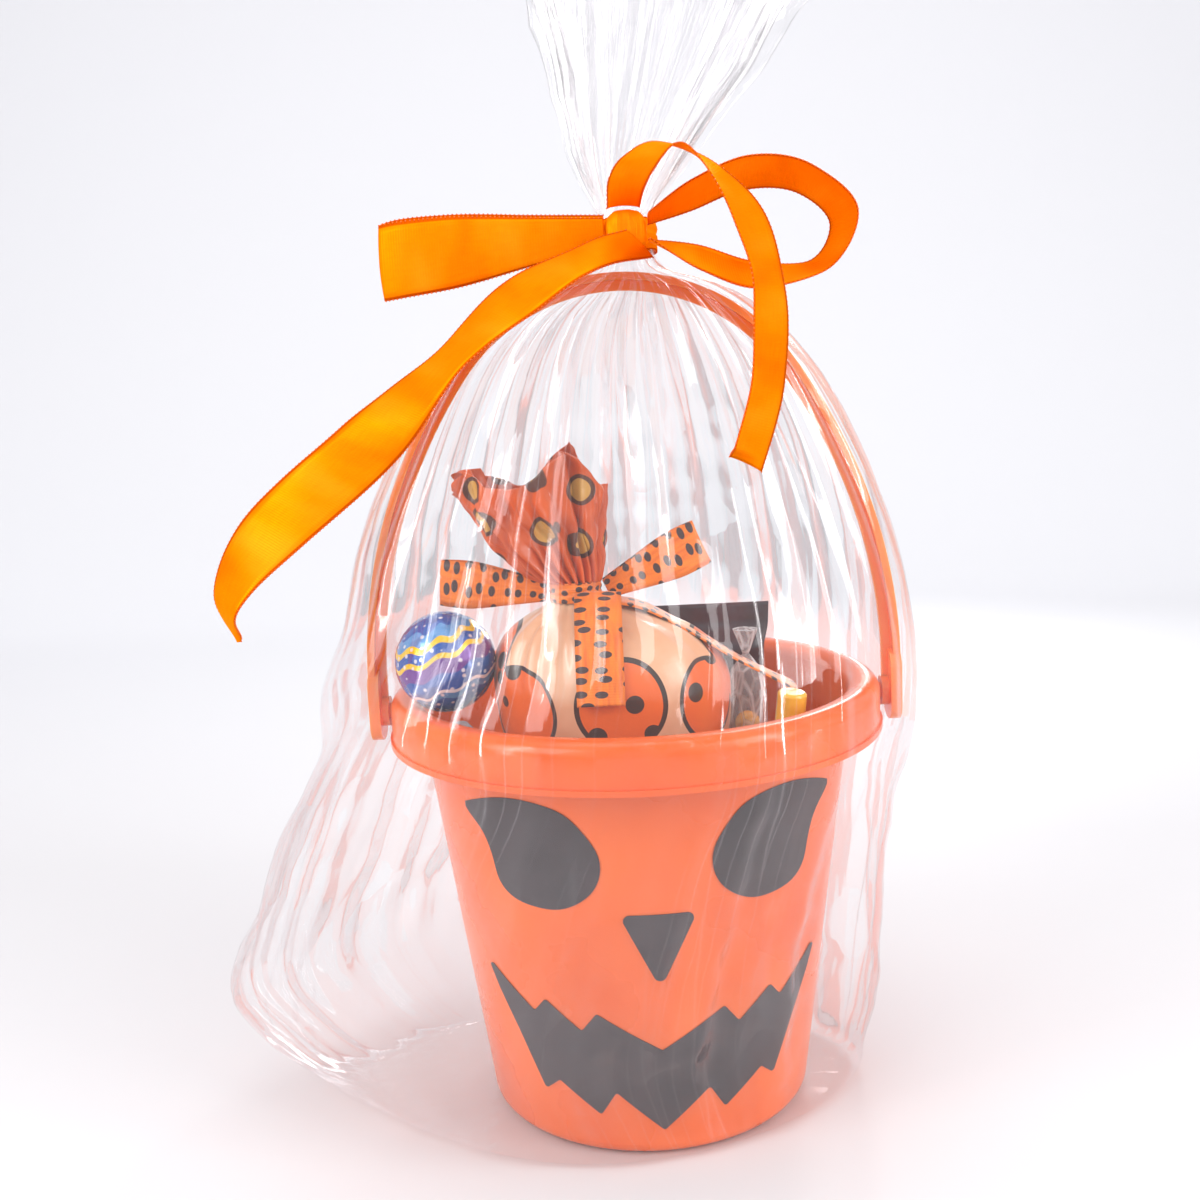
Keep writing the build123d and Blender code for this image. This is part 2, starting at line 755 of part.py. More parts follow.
def make_stick(diameter, length, angle):
    # round stick of sweets leaning along the wall
    lean = degrees(atan(wall_slope))
    out = inner_radius(floor_top) - stick_inset - diameter / 2
    foot = floor_top + rest_gap + diameter / 2 * sin(radians(lean))
    rod = Cylinder(diameter / 2, length, align=(Align.CENTER, Align.CENTER, Align.MIN))
    rod = fillet(rod.edges(), diameter / 8)
    return Rot(0, 0, angle) * (Pos(out, 0, foot) * Rot(0, lean, 0) * rod)


nodes = {
    "pail_shell": make_pail(),
    "left_eye_print": make_eye(-1),
    "right_eye_print": make_eye(1),
    "nose_print": make_nose(),
    "mouth_print": make_mouth(),
    "bail_handle": make_bail(),
    "wrap_skirt": make_skirt(),
    "wrap_hood": make_hood(),
    "wrap_plume": make_plume(),
    "ribbon_collar": make_collar(),
    "ribbon_knot": make_knot(),
    "ribbon_left_loop": make_left_loop(),
    "ribbon_right_loop": make_right_loop(),
    "ribbon_left_tail": make_left_tail(),
    "ribbon_right_tail": make_right_tail(),
    "treat_pouch": make_pouch(),
    "pouch_top": make_pouch_top(),
    "pouch_tie": make_pouch_tie(),
    "pouch_left_loop": make_bow_loop(bow_left_length, -1, bow_left_turn),
    "pouch_right_loop": make_bow_loop(bow_right_length, 1, bow_right_turn),
    "pouch_front_tail": make_bow_tail(),
    "pouch_streamer": make_streamer(),
    "foil_ball": make_ball(),
    "maroon_bar": make_maroon_bar(),
    "dark_bar": make_dark_bar(),
    "clear_twist": make_twist(),
    "yellow_stick": make_stick(yellow_diameter, yellow_length, yellow_angle),
    "blue_stick": make_stick(blue_diameter, blue_length, blue_angle),
}

os.makedirs("parts", exist_ok=True)
for name, solid in nodes.items():
    export_step(solid, "parts/" + name + ".step")
    print(name, round(solid.volume, 2))
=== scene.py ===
import math

import bmesh
import bpy
import numpy as np
from mathutils import Matrix, Vector, noise


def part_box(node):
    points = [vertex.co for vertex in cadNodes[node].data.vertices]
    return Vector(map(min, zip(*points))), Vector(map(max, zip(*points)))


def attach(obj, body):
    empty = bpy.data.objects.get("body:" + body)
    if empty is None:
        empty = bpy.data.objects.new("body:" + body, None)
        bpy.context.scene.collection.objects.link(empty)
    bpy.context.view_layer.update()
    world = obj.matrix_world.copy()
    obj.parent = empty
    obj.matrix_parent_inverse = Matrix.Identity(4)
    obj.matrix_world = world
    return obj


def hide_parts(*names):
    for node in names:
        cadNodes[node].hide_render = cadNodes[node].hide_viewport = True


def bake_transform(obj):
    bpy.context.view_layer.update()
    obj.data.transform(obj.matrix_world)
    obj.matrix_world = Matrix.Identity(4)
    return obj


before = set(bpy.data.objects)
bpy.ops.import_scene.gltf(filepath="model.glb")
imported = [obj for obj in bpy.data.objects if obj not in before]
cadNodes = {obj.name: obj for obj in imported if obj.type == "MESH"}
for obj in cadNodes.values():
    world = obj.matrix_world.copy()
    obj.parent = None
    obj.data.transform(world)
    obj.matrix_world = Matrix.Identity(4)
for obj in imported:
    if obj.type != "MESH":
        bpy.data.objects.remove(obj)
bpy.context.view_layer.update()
mm = 0.001
fullTurn = 2 * math.pi
print("frame loaded with", len(cadNodes), "nodes")


# Shared mesh helpers

def smoothLine(points, count):
    # curve through given points, evenly stepped from point to point
    pts = np.array(points, float)
    padded = np.vstack([2 * pts[0] - pts[1], pts, 2 * pts[-1] - pts[-2]])
    steps = np.linspace(0, len(pts) - 1, count)
    start = np.minimum(steps.astype(int), len(pts) - 2)
    f = (steps - start)[:, None]
    p0, p1, p2, p3 = (padded[start + k] for k in range(4))
    bend = 2 * p0 - 5 * p1 + 4 * p2 - p3
    twist = 3 * p1 - p0 - 3 * p2 + p3
    return 0.5 * (2 * p1 + (p2 - p0) * f + bend * f ** 2 + twist * f ** 3)


def addPiece(name, mesh):
    obj = bpy.data.objects.new(name, mesh)
    bpy.context.scene.collection.objects.link(obj)
    return obj


def gridPiece(name, grid, closed=False, uv=None):
    # surface through rows and columns of points, with the map that its finish follows
    rows, cols = grid.shape[:2]
    wrap = cols if closed else cols - 1
    row = np.arange(rows - 1)[:, None] * cols
    col = np.arange(wrap)[None, :]
    after = (col + 1) % cols
    quads = np.stack([row + col, row + after, row + cols + after, row + cols + col], -1).reshape(-1, 4)
    mesh = bpy.data.meshes.new(name)
    mesh.from_pydata(grid.reshape(-1, 3).tolist(), [], quads.tolist())
    if uv is not None:
        corners = np.stack([uv[:-1, :-1], uv[:-1, 1:], uv[1:, 1:], uv[1:, :-1]], 2).reshape(-1, 2)
        mesh.uv_layers.new(name="UVMap").data.foreach_set("uv", corners.astype(np.float32).ravel())
    mesh.polygons.foreach_set("use_smooth", [True] * len(mesh.polygons))
    mesh.update()
    return addPiece(name, mesh)


def weld(obj, outward=False):
    # closes poles, and turns the faces of a closed piece outwards
    bm = bmesh.new()
    bm.from_mesh(obj.data)
    bmesh.ops.remove_doubles(bm, verts=bm.verts, dist=0.01 * mm)
    bmesh.ops.dissolve_degenerate(bm, edges=bm.edges, dist=0.001 * mm)
    if outward:
        bmesh.ops.recalc_face_normals(bm, faces=bm.faces)
    bm.to_mesh(obj.data)
    bm.free()
    return obj


def settle(obj):
    # turns what the modifiers give into a plain mesh
    graph = bpy.context.evaluated_depsgraph_get()
    mesh = bpy.data.meshes.new_from_object(obj.evaluated_get(graph))
    obj.modifiers.clear()
    obj.data = mesh
    return obj


def thicken(obj, thickness):
    wall = obj.modifiers.new("wall", "SOLIDIFY")
    wall.thickness = thickness
    wall.offset = 0
    return settle(obj)


def noiseOf(points, scale):
    # soft noise, -1 to 1, at every point of an array
    flat = (points.reshape(-1, 3) * scale).tolist()
    return np.array([noise.noise(p) for p in flat]).reshape(points.shape[:-1])


def zigzag(x):
    return 4 * np.abs(x - np.floor(x + 0.5)) - 1


def ease(share):
    return share * share * (3 - 2 * share)


def turnAngles(count):
    # one turn in equal steps, as a row
    return np.linspace(0, fullTurn, count, endpoint=False)[None, :]


def dress(obj, finish):
    obj.data.materials.clear()
    obj.data.materials.append(finish)
    return obj


# Shared finish helpers

def startFinish(name):
    finish = bpy.data.materials.new(name)
    finish.use_nodes = True
    tree = finish.node_tree
    return finish, tree, tree.nodes["Principled BSDF"]


def put(tree, kind, inputs=None, **props):
    node = tree.nodes.new(kind)
    for key, value in props.items():
        setattr(node, key, value)
    for key, value in (inputs or {}).items():
        node.inputs[key].default_value = value
    return node


def ramp(tree, source, stops, steps="LINEAR"):
    node = put(tree, "ShaderNodeValToRGB")
    node.color_ramp.interpolation = steps
    while len(node.color_ramp.elements) < len(stops):
        node.color_ramp.elements.new(0.5)
    for element, (place, colour) in zip(node.color_ramp.elements, stops):
        element.position = place
        element.color = (*colour, 1) if len(colour) == 3 else colour
    tree.links.new(source, node.inputs["Fac"])
    return node.outputs["Color"]


def sums(tree, operation, first, second=None, clamp=False):
    node = put(tree, "ShaderNodeMath", operation=operation, use_clamp=clamp)
    for place, value in enumerate((first, second)):
        if value is None:
            continue
        if isinstance(value, (int, float)):
            node.inputs[place].default_value = value
        else:
            tree.links.new(value, node.inputs[place])
    return node.outputs[0]


def mixColours(tree, fac, first, second):
    node = put(tree, "ShaderNodeMix", data_type="RGBA")
    for socket, value in ((node.inputs[0], fac), (node.inputs[6], first), (node.inputs[7], second)):
        if isinstance(value, (int, float)):
            socket.default_value = value
        elif isinstance(value, tuple):
            socket.default_value = (*value, 1)
        else:
            tree.links.new(value, socket)
    return node.outputs[2]


def objectCoords(tree, centre=(0, 0, 0), scale=(1, 1, 1)):
    coords = put(tree, "ShaderNodeTexCoord")
    mapping = put(tree, "ShaderNodeMapping")
    mapping.inputs["Scale"].default_value = scale
    mapping.inputs["Location"].default_value = [-c * s for c, s in zip(centre, scale)]
    tree.links.new(coords.outputs["Object"], mapping.inputs["Vector"])
    return mapping.outputs["Vector"]


def mapCoords(tree, scale=(1, 1, 1)):
    uv = put(tree, "ShaderNodeUVMap", uv_map="UVMap")
    mapping = put(tree, "ShaderNodeMapping")
    mapping.inputs["Scale"].default_value = scale
    tree.links.new(uv.outputs["UV"], mapping.inputs["Vector"])
    return mapping.outputs["Vector"]


def noiseTexture(tree, coords, scale, detail=3):
    node = put(tree, "ShaderNodeTexNoise", {"Scale": scale, "Detail": detail})
    tree.links.new(coords, node.inputs["Vector"])
    return node.outputs["Fac"]


def cellTexture(tree, coords, scale, feature="F1", randomness=1.0, dimensions="3D"):
    node = put(tree, "ShaderNodeTexVoronoi", {"Scale": scale, "Randomness": randomness})
    node.feature = feature
    node.voronoi_dimensions = dimensions
    tree.links.new(coords, node.inputs["Vector"])
    return node.outputs["Distance"]


def addBump(tree, shader, height, strength, distance):
    bump = put(tree, "ShaderNodeBump", {"Strength": strength, "Distance": distance})
    tree.links.new(height, bump.inputs["Height"])
    tree.links.new(bump.outputs["Normal"], shader.inputs["Normal"])


# Camera, floor and light

camera = {
    "place": (0, -0.5, 0.2714),
    "pan": -0.022,
    "pitch": 0.169,
    "roll": 0.048,
    "lens": 41.6,
    "sensor": 36,
    "nearest": 0.01,
}


def makeCamera():
    data = bpy.data.cameras.new("camera")
    data.lens = camera["lens"]
    data.sensor_width = camera["sensor"]
    data.clip_start = camera["nearest"]
    obj = bpy.data.objects.new("camera", data)
    bpy.context.scene.collection.objects.link(obj)
    pan, pitch, roll = camera["pan"], camera["pitch"], camera["roll"]
    ahead = Vector((math.sin(pan) * math.cos(pitch), math.cos(pan) * math.cos(pitch), -math.sin(pitch)))
    level = Vector((math.cos(pan), -math.sin(pan), 0))
    down = ahead.cross(level)
    right = math.cos(roll) * level + math.sin(roll) * down
    up = math.sin(roll) * level - math.cos(roll) * down
    turn = Matrix((right, up, -ahead)).transposed().to_4x4()
    obj.matrix_world = Matrix.Translation(camera["place"]) @ turn
    bpy.context.scene.camera = obj


studio = {
    "floorHalf": 9.0,
    "sweepStart": 0.9,
    "sweepRadius": 0.7,
    "sweepHeight": 6.0,
    "sweepSteps": 12,
    "lampAim": (0, 0, 0.17),
    "floorColour": (0.66, 0.65, 0.662),
    "wallColour": (0.85, 0.85, 0.875),
    "worldStrength": 0.86,
    "worldColour": (0.98, 0.98, 1.0),
}
lamps = {
    # place, size across and up, watts
    "leftSoftbox": ((-1.0, -0.8, 0.95), (0.9, 0.9), 8.0),
    "rightSoftbox": ((1.05, -0.7, 0.85), (0.8, 0.9), 7.5),
    "topSoftbox": ((-0.1, 0.05, 1.35), (0.9, 0.7), 4.0),
    "leftStrip": ((-0.62, -0.42, 0.40), (0.05, 0.8), 1.6),
    "rightStrip": ((0.66, -0.36, 0.40), (0.05, 0.8), 1.6),
    "backStrip": ((0.25, 0.75, 0.55), (0.08, 0.7), 1.6),
}


def floorFinish():
    finish, tree, shader = startFinish("studioFloor")
    split = put(tree, "ShaderNodeSeparateXYZ")
    tree.links.new(objectCoords(tree), split.inputs["Vector"])
    tone = ramp(tree, split.outputs["Y"], [(0.25, studio["floorColour"]), (1.0, studio["wallColour"])])
    tree.links.new(tone, shader.inputs["Base Color"])
    shader.inputs["Roughness"].default_value = 0.6
    return finish


def makeStudio():
    half, start, radius = studio["floorHalf"], studio["sweepStart"], studio["sweepRadius"]
    profile = [(-half, 0), (start, 0)]
    for step in range(1, studio["sweepSteps"] + 1):
        angle = step / studio["sweepSteps"] * math.pi / 2
        profile.append((start + radius * math.sin(angle), radius * (1 - math.cos(angle))))
    profile.append((start + radius, studio["sweepHeight"]))
    grid = np.array([[(x, y, z) for x in (-half, half)] for y, z in profile])
    floor = gridPiece("studioFloor", grid)
    dress(floor, floorFinish())
    for name, (place, size, watts) in lamps.items():
        data = bpy.data.lights.new(name, "AREA")
        data.shape = "RECTANGLE"
        data.size, data.size_y = size
        data.energy = watts
        obj = bpy.data.objects.new(name, data)
        obj.location = place
        aim = Vector(studio["lampAim"]) - Vector(place)
        obj.rotation_euler = aim.to_track_quat("-Z", "Y").to_euler()
        bpy.context.scene.collection.objects.link(obj)
    world = bpy.data.worlds.new("studio")
    world.use_nodes = True
    back = world.node_tree.nodes["Background"]
    back.inputs["Color"].default_value = (*studio["worldColour"], 1)
    back.inputs["Strength"].default_value = studio["worldStrength"]
    bpy.context.scene.world = world
    bpy.context.scene.view_settings.view_transform = "Standard"


makeCamera()
makeStudio()
print("camera, floor and light set")


# Pail, face and bail keep their solids and get moulded and printed finishes

pailPlastic = {
    "deep": (0.88, 0.118, 0.003),
    "bright": (0.97, 0.160, 0.005),
    "gloss": (0.22, 0.34),
}
facePrint = {
    "dark": (0.030, 0.024, 0.028),
    "light": (0.050, 0.040, 0.046),
}
bailPlastic = {
    "deep": (1.0, 0.25, 0.06),
    "bright": (1.0, 0.33, 0.11),
}


def mouldedFinish(name, deep, bright, gloss):
    finish, tree, shader = startFinish(name)
    coords = objectCoords(tree)
    cloud = noiseTexture(tree, coords, 18, 4)
    tree.links.new(ramp(tree, cloud, [(0.3, deep), (0.7, bright)]), shader.inputs["Base Color"])
    shine = ramp(tree, cloud, [(0.25, (gloss[0],) * 3), (0.75, (gloss[1],) * 3)])
    tree.links.new(shine, shader.inputs["Roughness"])
    grain = noiseTexture(tree, coords, 700, 2)
    addBump(tree, shader, grain, 0.06, 0.3 * mm)
    shader.inputs["Coat Weight"].default_value = 0.25
    shader.inputs["Coat Roughness"].default_value = 0.12
    return finish


def inkFinish():
    finish, tree, shader = startFinish("faceInk")
    coords = objectCoords(tree)
    cloud = noiseTexture(tree, coords, 60, 5)
    tone = ramp(tree, cloud, [(0.3, facePrint["dark"]), (0.7, facePrint["light"])])
    tree.links.new(tone, shader.inputs["Base Color"])
    speckle = noiseTexture(tree, coords, 1400, 2)
    shine = ramp(tree, speckle, [(0.3, (0.36,) * 3), (0.7, (0.5,) * 3)])
    tree.links.new(shine, shader.inputs["Roughness"])
    addBump(tree, shader, speckle, 0.1, 0.1 * mm)
    return finish


dress(cadNodes["pail_shell"], mouldedFinish("pailPlastic", **pailPlastic))
bailFinish = mouldedFinish("bailPlastic", gloss=(0.2, 0.3), **bailPlastic)
# thin soft plastic that light comes through
bailShader = bailFinish.node_tree.nodes["Principled BSDF"]
bailShader.inputs["Subsurface Weight"].default_value = 0.7
bailShader.inputs["Subsurface Radius"].default_value = (1.0, 0.45, 0.2)
bailShader.inputs["Subsurface Scale"].default_value = 6 * mm
dress(cadNodes["bail_handle"], bailFinish)
ink = inkFinish()
for name in ("left_eye_print", "right_eye_print", "nose_print", "mouth_print"):
    dress(cadNodes[name], ink)
print("pail, face and bail finished")


# Clear film bag

filmBag = {
    "columns": 384,
    "rows": 226,
    "perimeter": 0.62,
    # height, reach to the left and right, depth, drawing-in at the ears, pleat and crumple depth, all in mm
    "levels": [
        (0.15, 1, 1, 1, 0, 0, 0),
        (0.15, 60, 40, 34, 0.3, 0, 0),
        (0.3, 112, 76, 63, 0.5, 0, 0.4),
        (14, 136, 82, 68, 0.52, 1.2, 2.2),
        (40, 155, 85, 74, 0.50, 2.6, 3.4),
        (76, 143, 87, 82, 0.34, 2.4, 2.8),
        (112, 127, 92, 89, 0.16, 1.9, 1.8),
        (138, 114, 99, 94.5, 0.02, 1.4, 0.9),
        (159, 112, 100.5, 94.5, 0, 1.4, 0.8),
        (182, 103, 99, 84.5, 0, 1.7, 0.8),
        (208, 96, 93.7, 69.5, 0, 2.0, 0.9),
        (234, 85.5, 84.6, 55, 0, 2.3, 0.9),
        (258, 72.7, 72.7, 41.6, 0, 2.7, 0.9),
        (275, 60, 61, 31, 0, 3.0, 0.9),
        (288, 44, 48, 22.5, 0, 3.0, 0.8),
        (297, 25, 34, 15.5, 0, 2.3, 0.6),
        (304, 7.5, 15.5, 10, 0, 1.2, 0.3),
        (315, 4.6, 12.4, 8.4, 0, 1.0, 0.1),
        (325, 5.5, 14, 9.2, 0, 1.4, 0.3),
        (338, 9, 22, 13, 0, 3.2, 1.4),
        (358, 12, 36, 18, 0, 5.0, 2.6),
        (386, 16, 55, 23, 0, 6.6, 3.6),
        (406, 19, 68, 27, 0, 7.4, 4.2),
        (420, 21, 74, 29, 0, 7.6, 4.2),
    ],
    "mainPleats": 18,
    # pleats in one turn, and the weight of each set
    "pleats": ((8, 0.26), (13, 0.34), (23, 0.44), (41, 0.46)),
    # slow wander of the pleats, and its pull on the main and the fine ones
    "driftHeight": 260,
    "driftScale": 1.3,
    "mainDrift": 1.6,
    "fineDrift": 0.42,
    "rightEarShare": 0.4,
    # size and weight of the creases
    "creases": ((1 / 52, 0.62), (1 / 21, 0.38)),
    "mouthFrom": 390,
    "mouthRun": 30,
    "mouthRagged": 6,
    "flatBelow": 4,
}
filmLook = {
    "tint": (0.97, 0.95, 0.96, 1),
    "roughness": 0.09,
    # facets to the metre and their tilt, for smooth and for crumpled film
    "facets": (((150, 2.6, 1), 0.2), ((72, 42, 1), 0.6)),
    "bounce": 1.05,
    "creaseLines": 0.16,
    "crumpleHaze": 0.07,
    "leastHaze": 0.012,
    "mostHaze": 0.42,
    "lyingFade": 0.85,
}


def filmGrid():
    cols, rows = filmBag["columns"], filmBag["rows"]
    level = smoothLine(filmBag["levels"], rows)
    z, left, right, depth, pinch, pleat, crumple = (level[:, k][:, None] for k in range(7))
    angle = turnAngles(cols)
    middle, half = (right - left) / 2, (right + left) / 2
    sideShare = np.where(np.cos(angle) < 0, 1.0, filmBag["rightEarShare"])
    x = middle + half * np.cos(angle)
    y = depth * np.sin(angle) * (1 - pinch * sideShare * np.cos(angle) ** 2)
    grid = np.stack([x, y, z + 0 * angle], -1)
    outX, outY = depth * np.cos(angle), half * np.sin(angle)
    size = np.hypot(outX, outY) + 1e-9
    out = np.stack([outX / size, outY / size, 0 * size], -1)
    height = z / filmBag["driftHeight"] + 0 * angle
    turning = np.stack([np.cos(angle) + 0 * z, np.sin(angle) + 0 * z, height], -1)
    drift = noiseOf(turning, filmBag["driftScale"])
    uneven = noiseOf(np.stack([np.cos(angle) * 2.2, np.sin(angle) * 2.2, 3 + 0 * angle], -1), 1.0)
    main = 0.5 - 0.5 * np.cos(filmBag["mainPleats"] * angle + filmBag["mainDrift"] * drift)
    fold = main * np.clip(0.55 + 1.5 * uneven, 0.1, 1.2)
    for place, (count, weight) in enumerate(filmBag["pleats"]):
        fold = fold + weight * zigzag(count * angle / fullTurn + 0.37 * place + filmBag["fineDrift"] * drift)
    crease = 0 * x
    for size, weight in filmBag["creases"]:
        crease = crease + weight * (1 - 2.4 * np.abs(noiseOf(grid, size)))
    lift = pleat * fold + crumple * crease
    grid = grid + out * lift[..., None]
    ragged = noiseOf(np.stack([np.cos(angle) * 4, np.sin(angle) * 4, 0 * angle], -1), 1.0)
    upper = np.clip((z - filmBag["mouthFrom"]) / filmBag["mouthRun"], 0, 1)
    grid[..., 2] += filmBag["mouthRagged"] * ragged * upper
    flow = np.clip((z - 3) / 6, 0, 1)
    grid[..., 2] += flow * crumple * 0.5 * noiseOf(grid + 500, 1 / 26)
    grid[..., 2] = np.maximum(grid[..., 2], filmBag["levels"][0][0])
    flat = np.clip(1 - z / filmBag["flatBelow"], 0, 1) + 0 * x
    return grid * mm, np.clip(crumple / 5, 0, 1) + 0 * x, flat


def filmFinish():
    # mirror-like film that is mostly clear, in long facets on the hood and small ones where crumpled
    finish, tree, shader = startFinish("clearFilm")
    shader.inputs["Base Color"].default_value = filmLook["tint"]
    shader.inputs["Metallic"].default_value = 1.0
    shader.inputs["Roughness"].default_value = filmLook["roughness"]
    crumple = put(tree, "ShaderNodeAttribute", attribute_name="crumple").outputs["Fac"]
    facing = put(tree, "ShaderNodeLayerWeight", {"Blend": 0.5}).outputs["Facing"]
    ahead = sums(tree, "SUBTRACT", 1.0, sums(tree, "POWER", facing, 1.5))
    tilts = []
    for scale, amount in filmLook["facets"]:
        facets = put(tree, "ShaderNodeTexVoronoi", {"Scale": 1.0})
        facets.voronoi_dimensions = "2D"
        warp = put(tree, "ShaderNodeTexNoise", {"Scale": 1.0, "Detail": 2.0})
        coords = mapCoords(tree, scale)
        tree.links.new(coords, warp.inputs["Vector"])
        bent = put(tree, "ShaderNodeVectorMath", operation="ADD")
        tree.links.new(coords, bent.inputs[0])
        tree.links.new(warp.outputs["Color"], bent.inputs[1])
        tree.links.new(bent.outputs["Vector"], facets.inputs["Vector"])
        centred = put(tree, "ShaderNodeVectorMath", operation="SUBTRACT")
        centred.inputs[1].default_value = (0.5, 0.5, 0.5)
        tree.links.new(facets.outputs["Color"], centred.inputs[0])
        tilt = put(tree, "ShaderNodeVectorMath", operation="SCALE")
        # less tilt towards the rim of a curve, where a turned facet would show black
        tree.links.new(sums(tree, "MULTIPLY", ahead, amount), tilt.inputs["Scale"])
        tree.links.new(centred.outputs["Vector"], tilt.inputs[0])
        tilts.append(tilt.outputs["Vector"])
    chosen = put(tree, "ShaderNodeMix", data_type="VECTOR")
    tree.links.new(crumple, chosen.inputs[0])
    tree.links.new(tilts[0], chosen.inputs[4])
    tree.links.new(tilts[1], chosen.inputs[5])
    surface = put(tree, "ShaderNodeNewGeometry")
    turned = put(tree, "ShaderNodeVectorMath", operation="ADD")
    tree.links.new(surface.outputs["Normal"], turned.inputs[0])
    tree.links.new(chosen.outputs[1], turned.inputs[1])
    normal = put(tree, "ShaderNodeVectorMath", operation="NORMALIZE")
    tree.links.new(turned.outputs["Vector"], normal.inputs[0])
    tree.links.new(normal.outputs["Vector"], shader.inputs["Normal"])
    bounce = put(tree, "ShaderNodeFresnel", {"IOR": 1.5})
    tree.links.new(normal.outputs["Vector"], bounce.inputs["Normal"])
    runs = cellTexture(tree, mapCoords(tree, (150, 5, 1)), 1.0, "DISTANCE_TO_EDGE", 1.0, "2D")
    lines = ramp(tree, runs, [(0.0, (1, 1, 1)), (0.035, (0.2, 0.2, 0.2)), (0.08, (0, 0, 0))])
    patches = noiseTexture(tree, mapCoords(tree, (24, 4, 1)), 1.0, 3)
    lines = sums(tree, "MULTIPLY", lines, ramp(tree, patches, [(0.45, (0, 0, 0)), (0.68, (1, 1, 1))]))
    smooth = sums(tree, "SUBTRACT", 1.0, crumple)
    lines = sums(tree, "MULTIPLY", sums(tree, "MULTIPLY", lines, smooth), filmLook["creaseLines"])
    alpha = sums(tree, "ADD", sums(tree, "MULTIPLY", bounce.outputs[0], filmLook["bounce"]), lines)
    alpha = sums(tree, "ADD", alpha, sums(tree, "MULTIPLY", crumple, filmLook["crumpleHaze"]))
    alpha = sums(tree, "ADD", alpha, filmLook["leastHaze"])
    alpha = sums(tree, "MINIMUM", alpha, filmLook["mostHaze"])
    flat = put(tree, "ShaderNodeAttribute", attribute_name="flat").outputs["Fac"]
    lying = sums(tree, "SUBTRACT", 1.0, sums(tree, "MULTIPLY", flat, filmLook["lyingFade"]))
    tree.links.new(sums(tree, "MULTIPLY", alpha, lying), shader.inputs["Alpha"])
    return finish


def makeFilm():
    grid, crumple, flat = filmGrid()
    rows, cols = grid.shape[:2]
    steps = np.linalg.norm(np.diff(grid, axis=0), axis=-1).mean(1)
    along = np.concatenate([[0], np.cumsum(steps)])[:, None]
    around = np.linspace(0, filmBag["perimeter"], cols + 1)[None, :]
    uv = np.stack([around + 0 * along, along + 0 * around], -1)
    bag = gridPiece("film_bag", grid, True, uv)
    for name, values in (("crumple", crumple), ("flat", flat)):
        layer = bag.data.attributes.new(name, "FLOAT", "POINT")
        layer.data.foreach_set("value", values.astype(np.float32).ravel())
    dress(bag, filmFinish())
    weld(bag)
    area = sum(p.area for p in bag.data.polygons)
    print("film bag area", round(area, 4), "length", round(float(along[-1, 0]), 3))
    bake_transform(bag)
    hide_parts("wrap_skirt", "wrap_hood", "wrap_plume")
    # the bag cut open is one sheet, as wide as its girth and as long as the run from seam to mouth
    flat = (filmBag["perimeter"], float(along[-1, 0]))


makeFilm()
print("film bag made")


# Satin bow

knotLow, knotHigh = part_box("ribbon_knot")
knot = (knotLow + knotHigh) / 2 / mm
collarLow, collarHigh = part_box("ribbon_collar")

satin = {
    "width": 25,
    "thickness": 0.35,
    "base": (0.97, 0.235, 0.001),
    "shade": (0.92, 0.185, 0.001),
    "edge": (0.64, 0.088, 0.001),
    # deep and bright are the painted shade and painted sheen of the broad bands
    "deep": (0.80, 0.125, 0.001),
    "bright": (1.0, 0.33, 0.008),
    "ribSpacing": 0.9,
    "selvedge": 1.1,
}


def satinFinish():
    finish, tree, shader = startFinish("satinRibbon")
    split = put(tree, "ShaderNodeSeparateXYZ")
    tree.links.new(mapCoords(tree), split.inputs["Vector"])
    across, along = split.outputs["X"], split.outputs["Y"]
    ribs = sums(tree, "SINE", sums(tree, "MULTIPLY", along, fullTurn / (satin["ribSpacing"] * mm)))
    weave = noiseTexture(tree, mapCoords(tree, (900, 160, 1)), 1.0, 3)
    cloth = ramp(tree, weave, [(0.28, satin["shade"]), (0.62, satin["base"])])
    # painted sheen and painted shade: broad lighter and darker bands across the ribbon, painted into its
    # colour
    paintedSheen = noiseTexture(tree, mapCoords(tree, (14, 46, 1)), 1.0, 2)
    bands = ramp(tree, paintedSheen, [(0.32, satin["deep"]), (0.5, satin["base"]), (0.68, satin["bright"])])
    # mixes the painted sheen and shade bands into the cloth colour
    cloth = mixColours(tree, 0.6, cloth, bands)
    width = satin["width"] * mm
    fromMiddle = sums(tree, "ABSOLUTE", sums(tree, "SUBTRACT", across, width / 2))
    inside = sums(tree, "SUBTRACT", width / 2, fromMiddle)
    inside = sums(tree, "DIVIDE", inside, 3 * satin["selvedge"] * mm)
    rim = ramp(tree, inside, [(0.26, (1, 1, 1)), (0.36, (0, 0, 0))])
    tree.links.new(mixColours(tree, rim, cloth, satin["edge"]), shader.inputs["Base Color"])
    height = sums(tree, "ADD", sums(tree, "MULTIPLY", ribs, 0.5), sums(tree, "MULTIPLY", rim, 1.2))
    addBump(tree, shader, height, 0.35, 0.12 * mm)
    shader.inputs["Roughness"].default_value = 0.38
    shader.inputs["Specular IOR Level"].default_value = 0.0
    shader.inputs["Metallic"].default_value = 0.3
    shader.inputs["Specular Tint"].default_value = (1.0, 0.45, 0.04, 1)
    shader.inputs["Sheen Weight"].default_value = 0.2
    shader.inputs["Sheen Tint"].default_value = (1.0, 0.42, 0.02, 1)
    shader.inputs["Sheen Roughness"].default_value = 0.3
    return finish


def fullWidth(a, b, width, turned):
    # a ribbon that looks narrow is turned edge-on, so its second edge comes forward to its full width
    along = np.linspace(0, 1, len(a))
    opened = ease(np.clip(np.minimum(along / turned[0], (1 - along) / turned[1]), 0, 1))
    apart = np.linalg.norm(b - a, axis=1)
    seen = np.hypot(b[:, 0] - a[:, 0], b[:, 2] - a[:, 2])
    wanted = apart + (np.maximum(width, apart) - apart) * opened
    moved = b.copy()
    moved[:, 1] = a[:, 1] - np.sqrt(np.maximum(wanted ** 2 - seen ** 2, 0))
    return moved


ribbonEdges = []


